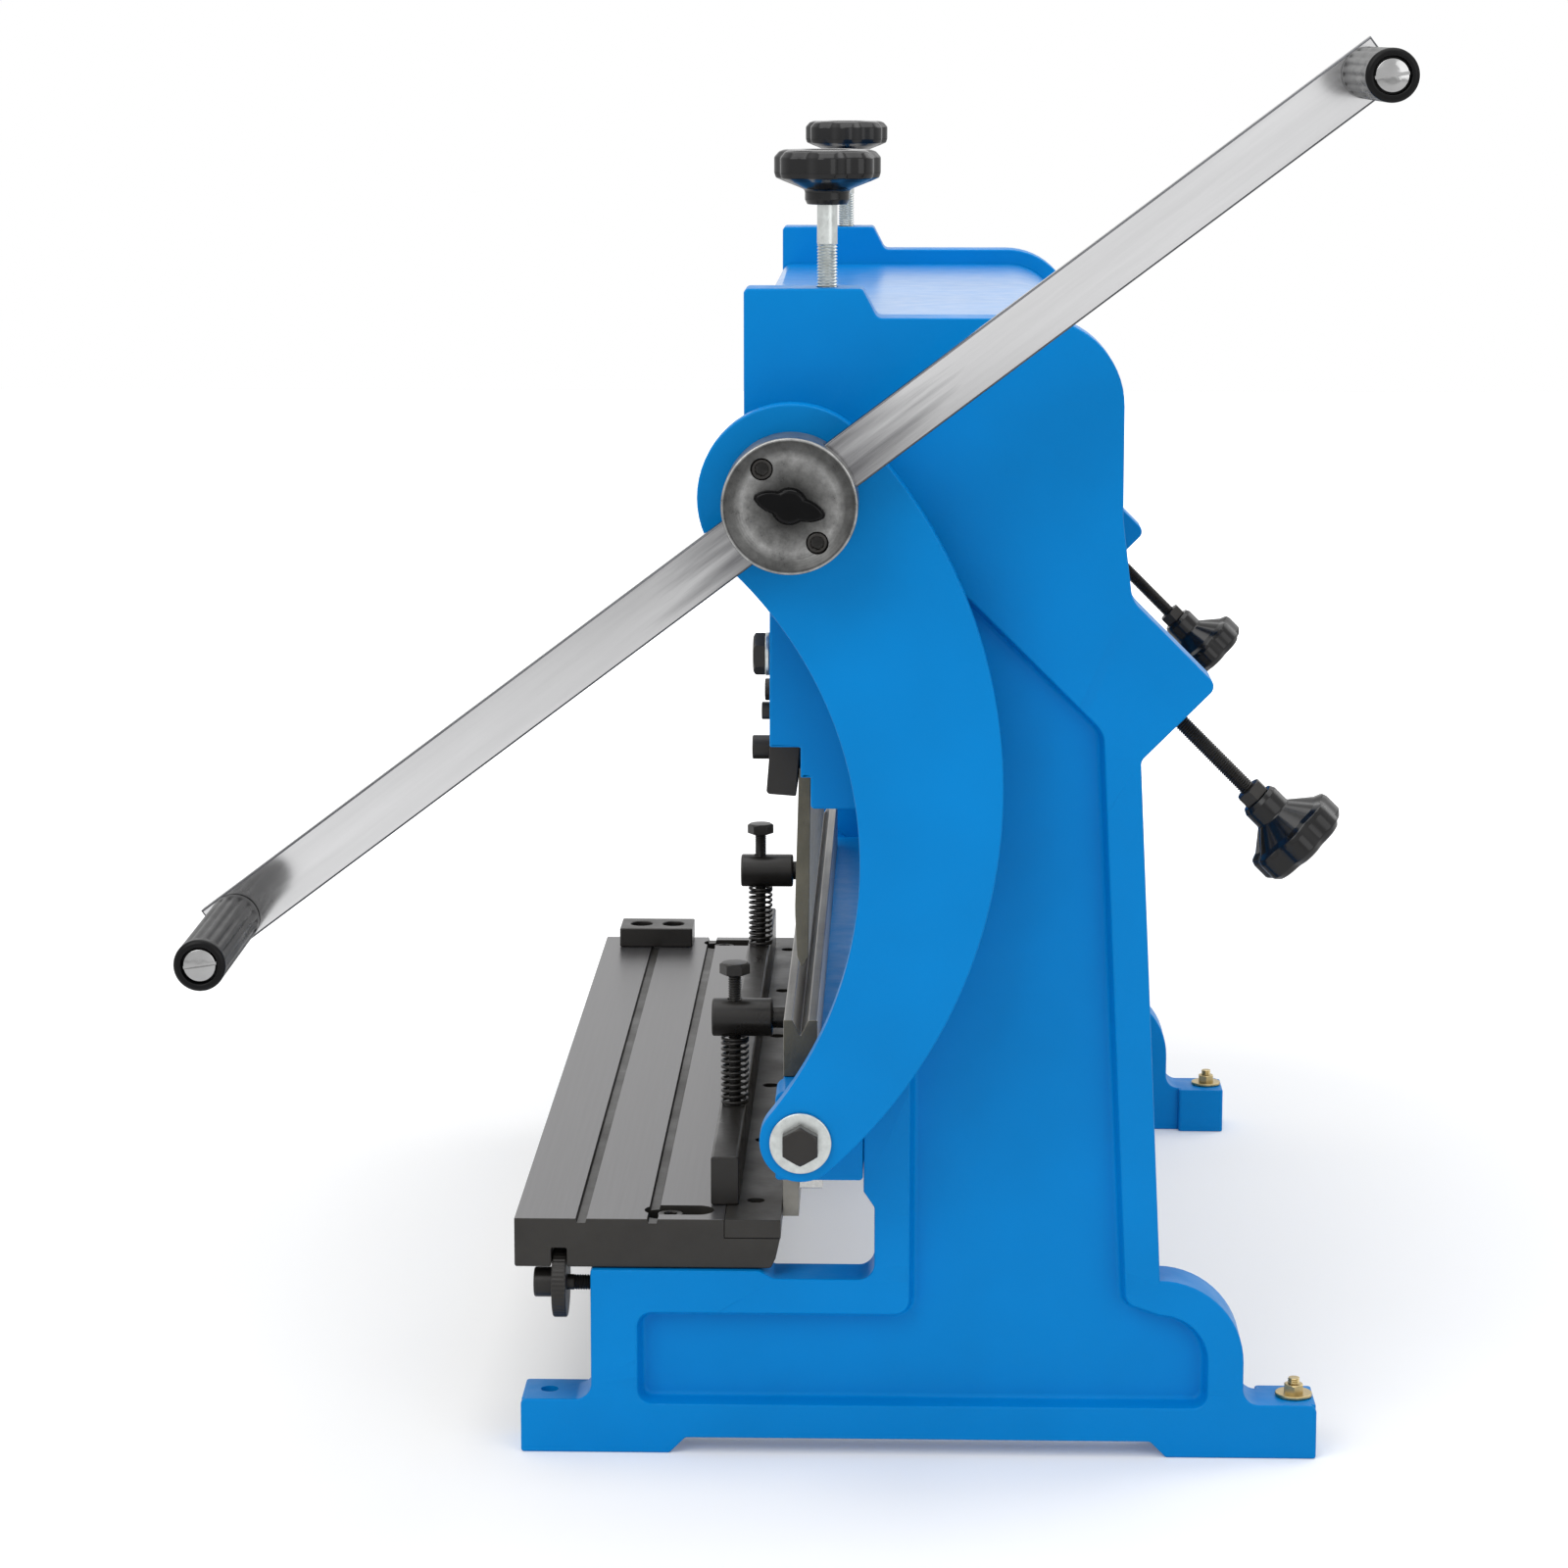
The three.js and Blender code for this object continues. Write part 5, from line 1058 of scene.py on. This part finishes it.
def star_knob(radius, neck, levels, at=(0, 0)):
    """A knob from its base, neck, rim and top heights along Z, with seven soft lobes that fade
    where the head narrows to its neck or its crown."""
    def shape(angle, r, w):
        fade = held((r - radius * 0.5) / (radius * 0.42))
        return r - radius * 0.13 * fade * lobes(7, angle, 1.5)
    base, under, rim, top = levels
    corners = [(0, base), (neck - 1.2, base, 0.5), (neck, base + 2.4, 1), (neck, under - 1, 2),
               (radius - 4.5, rim - 1.0, 1.2), (radius - 0.8, rim + 0.6, 1.2), (radius, rim + 3, 2),
               (radius, top - 3.6, 1.6), (radius - 2.4, top - 0.9, 2.4), (radius - 5, top, 3),
               (11.4, top, 1.2), (9.6, top - 2.6, 1.2), (0, top - 2.2)]
    return turned("z", corners, at, 168, shape=shape)


for where, side in SIDES:
    at = (side * SCREW_X, ROLL_UPPER[0])
    body = f"{where}_top_knob"
    knob = star_knob(26, 10.8, (620, 628, 632, 646), at)
    add(f"{where}_star_knob", knob, "black_plastic", body, f"{where}_top_knob", smooth=50)
    tip = ROLL_UPPER[1] + BLOCK[0] / 2 + SEAT_GAP
    screw = merged(thin_rod("z", 4.2, tip, tip + 10, at, 0.6),
                   thread("z", 5, tip + 9, 602, 1.5, at), small_rod("z", 4.9, 601, 621, at, 0.3))
    add(f"{where}_adjusting_screw", screw, "zinc_plate", body, f"{where}_top_screw")

    x = side * SCREW_X
    body = f"{where}_rear_knob"
    start = REAR_FACE + 52 + 3.25
    knob = star_knob(25, 9.8, (start, start + 12, start + 21, start + 36))
    add(f"{where}_rear_star_knob", slope(knob, x), "black_plastic", body, f"{where}_rear_knob",
        smooth=50)
    screw = merged(thin_rod("z", 3.2, 14.3, 22, edge=0.5), thread("z", 4, 21, start + 1, 1.25))
    add(f"{where}_rear_screw", slope(screw, x), "black_oxide", body)
    nut = hex_head("z", 13, start - 0.3, start - 6.8)
    add(f"{where}_rear_lock_nut", slope(nut, x), "black_oxide", body)


# Shear table with its lower blade, guide, bolts and adjusting screws

TABLE_TOP = 119.8
TABLE_END = OUTER - 3
BLADE_SCREWS = [((i - 2.5) * 118, -20) for i in range(6)]
GUIDE_LENGTH = 32


def slotted(x, y0, y1, width):
    half = width / 2
    return arc(x, y0 + half, half, pi, tau) + arc(x, y1 - half, half, 0, pi)


def shear_table():
    table = bar_along([
        (-138.9, 95, 1.2), (-120.7, 95, 0.8), (-120.7, 104.6, 1), (-112.8, 104.6, 1),
        (-112.8, 95, 0.8), (-11.4, 95, 2), (-8.9, 100, 1), (-6.7, 110.2), (-34.5, 110.2),
        (-34.5, TABLE_TOP), (-138.9, TABLE_TOP, 0.6),
    ], -TABLE_END, TABLE_END)
    cuts = []
    for y in (-105.6, -70.1):
        groove = [(y - 2.1, 117.6), (y + 2.1, 117.6), (y + 2.9, 120.4), (y - 2.9, 120.4)]
        cuts.append(loft("x", [(groove, x) for x in (-TABLE_END - 2, TABLE_END + 2)]))
    for _, side in SIDES:
        for width, low, high in ((17, 109.8, 122), (9, 93, 111)):
            loop = slotted(side * TABLE_BOLT_X, -75, -40, width)
            cuts.append(loft("z", [(loop, low), (loop, high)]))
    return shaped(table, cuts=cuts)


table = shear_table()
for face in table.faces:
    on_top = face.normal.z >= 0.9 and face.calc_center_median().z >= TABLE_TOP - 0.3
    face.material_index = int(not on_top)
add("ground_shear_table", table, "table_steel", "table", "shear_table", second="black_steel")

blade_loop = rectangle(-TABLE_END, -34.2, TABLE_END, -6.4)
holes = [hole(*at, 4.4, radians(12)) for at in BLADE_SCREWS]
add("shear_lower_blade", plate("z", [blade_loop, *holes], 110.5, TABLE_TOP, 0.3), "black_steel",
    "table", "lower_blade")
for i, at in enumerate(BLADE_SCREWS, 1):
    screw = cap_screw("z", 4.1, 112, 117.6, 2.1, 2.4, at, 0.4)
    add(f"lower_blade_screw_{i}", screw, "black_oxide", "table")

guide_loop = rectangle(-TABLE_END, -128.5, -TABLE_END + GUIDE_LENGTH, -81.9)
guide_loop = rounded([(*corner, 1) for corner in guide_loop])
holes = [hole(-TABLE_END + GUIDE_LENGTH / 2, y, 7) for y in (-115.4, -94.9)]
add("drilled_work_guide", plate("z", [guide_loop, *holes], 120.1, 132.1, 0.8), "black_oxide",
    "table", "work_guide")


def knurled(angle, r, w):
    return r - 0.35 * abs(((angle * 48 / tau) % 1) * 2 - 1) if r > 16.9 else r


for where, side in SIDES:
    at = (side * TABLE_BOLT_X, TABLE_BOLT_Y)
    bolt = merged(cap_screw("z", 6.5, 110.1, 118.1, 3, 4, at), thin_rod("z", 4, 74.3, 110.3, at))
    add(f"{where}_table_cap_screw", bolt, "black_oxide", "frame", f"{where}_table_bolt")
    at = (ADJUSTER_Z, side * SIDE_BOLT_X)
    flange = turned("y", [(0, -120.3), (17.5, -120.3, 1), (17.5, -113.1, 1), (0, -113.1)], at, 192,
                    shape=knurled)
    screw = merged(cap_screw("y", 7.5, -120.2, -130, 3, 5, at, 1), flange,
                   rod("y", 3.9, -113.2, -110, at), thread("y", 4, -110.5, -81, 1.25, at))
    add(f"{where}_adjusting_wheel", screw, "black_oxide", f"{where}_table_adjuster",
        f"{where}_table_adjuster")


# Hold-down: pressure bar, posts, barrels and springs

parts = [bar_along([(-42.2, 120.1, 1), (-28.3, 120.1, 1), (-28.3, 144.9, 1.5),
                    (-42.2, 144.9, 1.5)], -BED_END, BED_END, 0.6)]
for _, side in SIDES:
    at = (side * POST_X, POST_Y)
    parts += [small_rod("z", 3.1, 143, 214.8, at), thread("z", 3.6, 180, 214.7, 1.25, at),
              hex_head("z", 13.8, 214.5, 220.6, at, pi / 6)]
add("bar_with_posts", merged(*parts), "black_oxide", "hold_down", "pressure_bar")

SPRING_FOOT = 145.2
SPRING_HEAD = 180.9


def spring(x, y):
    """One wire wound round a post, its last turn closed down on each seat."""
    wire, middle, turns, closed, steps, sides = 0.8, 6.7, 12.5, 0.9, 24, 10
    rise = SPRING_HEAD - SPRING_FOOT - 2 * wire
    path = []
    for i in range(int(turns * steps) + 1):
        angle = i / steps * tau
        share = held((i / steps - closed) / (turns - 2 * closed))
        path.append(Vector((middle * cos(angle), middle * sin(angle),
                            SPRING_FOOT + wire + rise * share)))
    loops = []
    for i, at in enumerate(path):
        along = (path[min(i + 1, len(path) - 1)] - path[max(i - 1, 0)]).normalized()
        outward = Vector((at.x, at.y, 0)).normalized()
        across = along.cross(outward).normalized()
        loops.append([at + outward * wire * cos(a) + across * wire * sin(a)
                      + Vector((x, y, 0)) for a in [k * tau / sides for k in range(sides)]])
    return skin(loops)


for where, side in SIDES:
    at = (BARREL_Z, side * POST_X)
    barrel = shaped(turned("y", [(0, -46.3), (10, -46.3, 1.2), (10, -14.4, 1.2), (5.6, -14.4),
                                 (5.6, 0.2, 0.5), (0, 0.2)], at),
                    cuts=[small_rod("z", 3.9, 178, 204, (side * POST_X, POST_Y))])
    add(f"{where}_turned_barrel", barrel, "black_oxide", "ram", f"{where}_hold_down_barrel",
        bevel=0.2)
    wound = add(f"{where}_wound_spring", spring(side * POST_X, POST_Y), "black_oxide", "ram",
                f"{where}_hold_down_spring", smooth=60)
    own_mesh(wound)


# Floor, light and background

LAMPS = (
    ("key", (2.4, -1.6, 2.6), 0.3, 2.2, 40),
    ("fill", (2.6, 1.9, 1.2), 0.3, 2.0, 14),
    ("back", (-1.5, 2.2, 2.2), 0.3, 2.0, 20),
    ("top", (0, 0, 3.0), 0, 2.5, 40),
)


def rays_in(tree):
    return tree.nodes.new("ShaderNodeLightPath").outputs


def seen_directly(tree):
    """One for rays from the camera, a reflection or through glass, zero for the light itself."""
    rays = rays_in(tree)
    first = reckon(tree, "MAXIMUM", rays["Is Camera Ray"], rays["Is Glossy Ray"])
    return reckon(tree, "MAXIMUM", first, rays["Is Transmission Ray"])


def pale_floor():
    """A floor that the camera sees fading into the white of the background."""
    tree, shader = finish("floor", Base_Color=grey(0.9), Roughness=0.9, Specular_IOR_Level=0.1)
    far = node(tree, "ShaderNodeVectorMath", place_in(tree), operation="LENGTH")
    fade = node(tree, "ShaderNodeMapRange", far.outputs["Value"], 0.6, 2.4, 0.12, 1.0)
    strength = reckon(tree, "MULTIPLY", fade.outputs["Result"], rays_in(tree)["Is Camera Ray"])
    glow = node(tree, "ShaderNodeEmission", Color=grey(1), Strength=strength)
    total = node(tree, "ShaderNodeAddShader", shader.outputs[0], glow.outputs[0])
    feed(tree, tree.nodes["Material Output"], Surface=total.outputs[0])
    mesh = bpy.data.meshes.new("floor")
    reach = 6.0
    corners = [(*corner, 0) for corner in rectangle(-reach, -reach, reach, reach)]
    mesh.from_pydata(corners, [], [(0, 1, 2, 3)])
    mesh.materials.append(FINISHES["floor"])
    stand("floor", mesh)


def lamp(name, place, height, size, power):
    """A square lamp that faces the machine's middle at a height."""
    data = bpy.data.lights.new(name, "AREA")
    data.size = size
    data.energy = power
    made = stand(name, data)
    made.location = place
    direction = Vector((0, 0, height)) - Vector(place)
    made.rotation_euler = direction.to_track_quat("-Z", "Y").to_euler()


def set_world():
    world = bpy.data.worlds.new("world")
    bpy.context.scene.world = world
    world.use_nodes = True
    tree = world.node_tree
    tree.nodes.clear()
    soft = node(tree, "ShaderNodeBackground", Color=grey(1), Strength=0.5)
    white = node(tree, "ShaderNodeBackground", Color=grey(1), Strength=1.0)
    mix = node(tree, "ShaderNodeMixShader", seen_directly(tree), soft.outputs[0], white.outputs[0])
    node(tree, "ShaderNodeOutputWorld", mix.outputs[0])


pale_floor()
set_world()
for values in LAMPS:
    lamp(*values)
set_camera()
bpy.context.scene.view_settings.view_transform = "Standard"
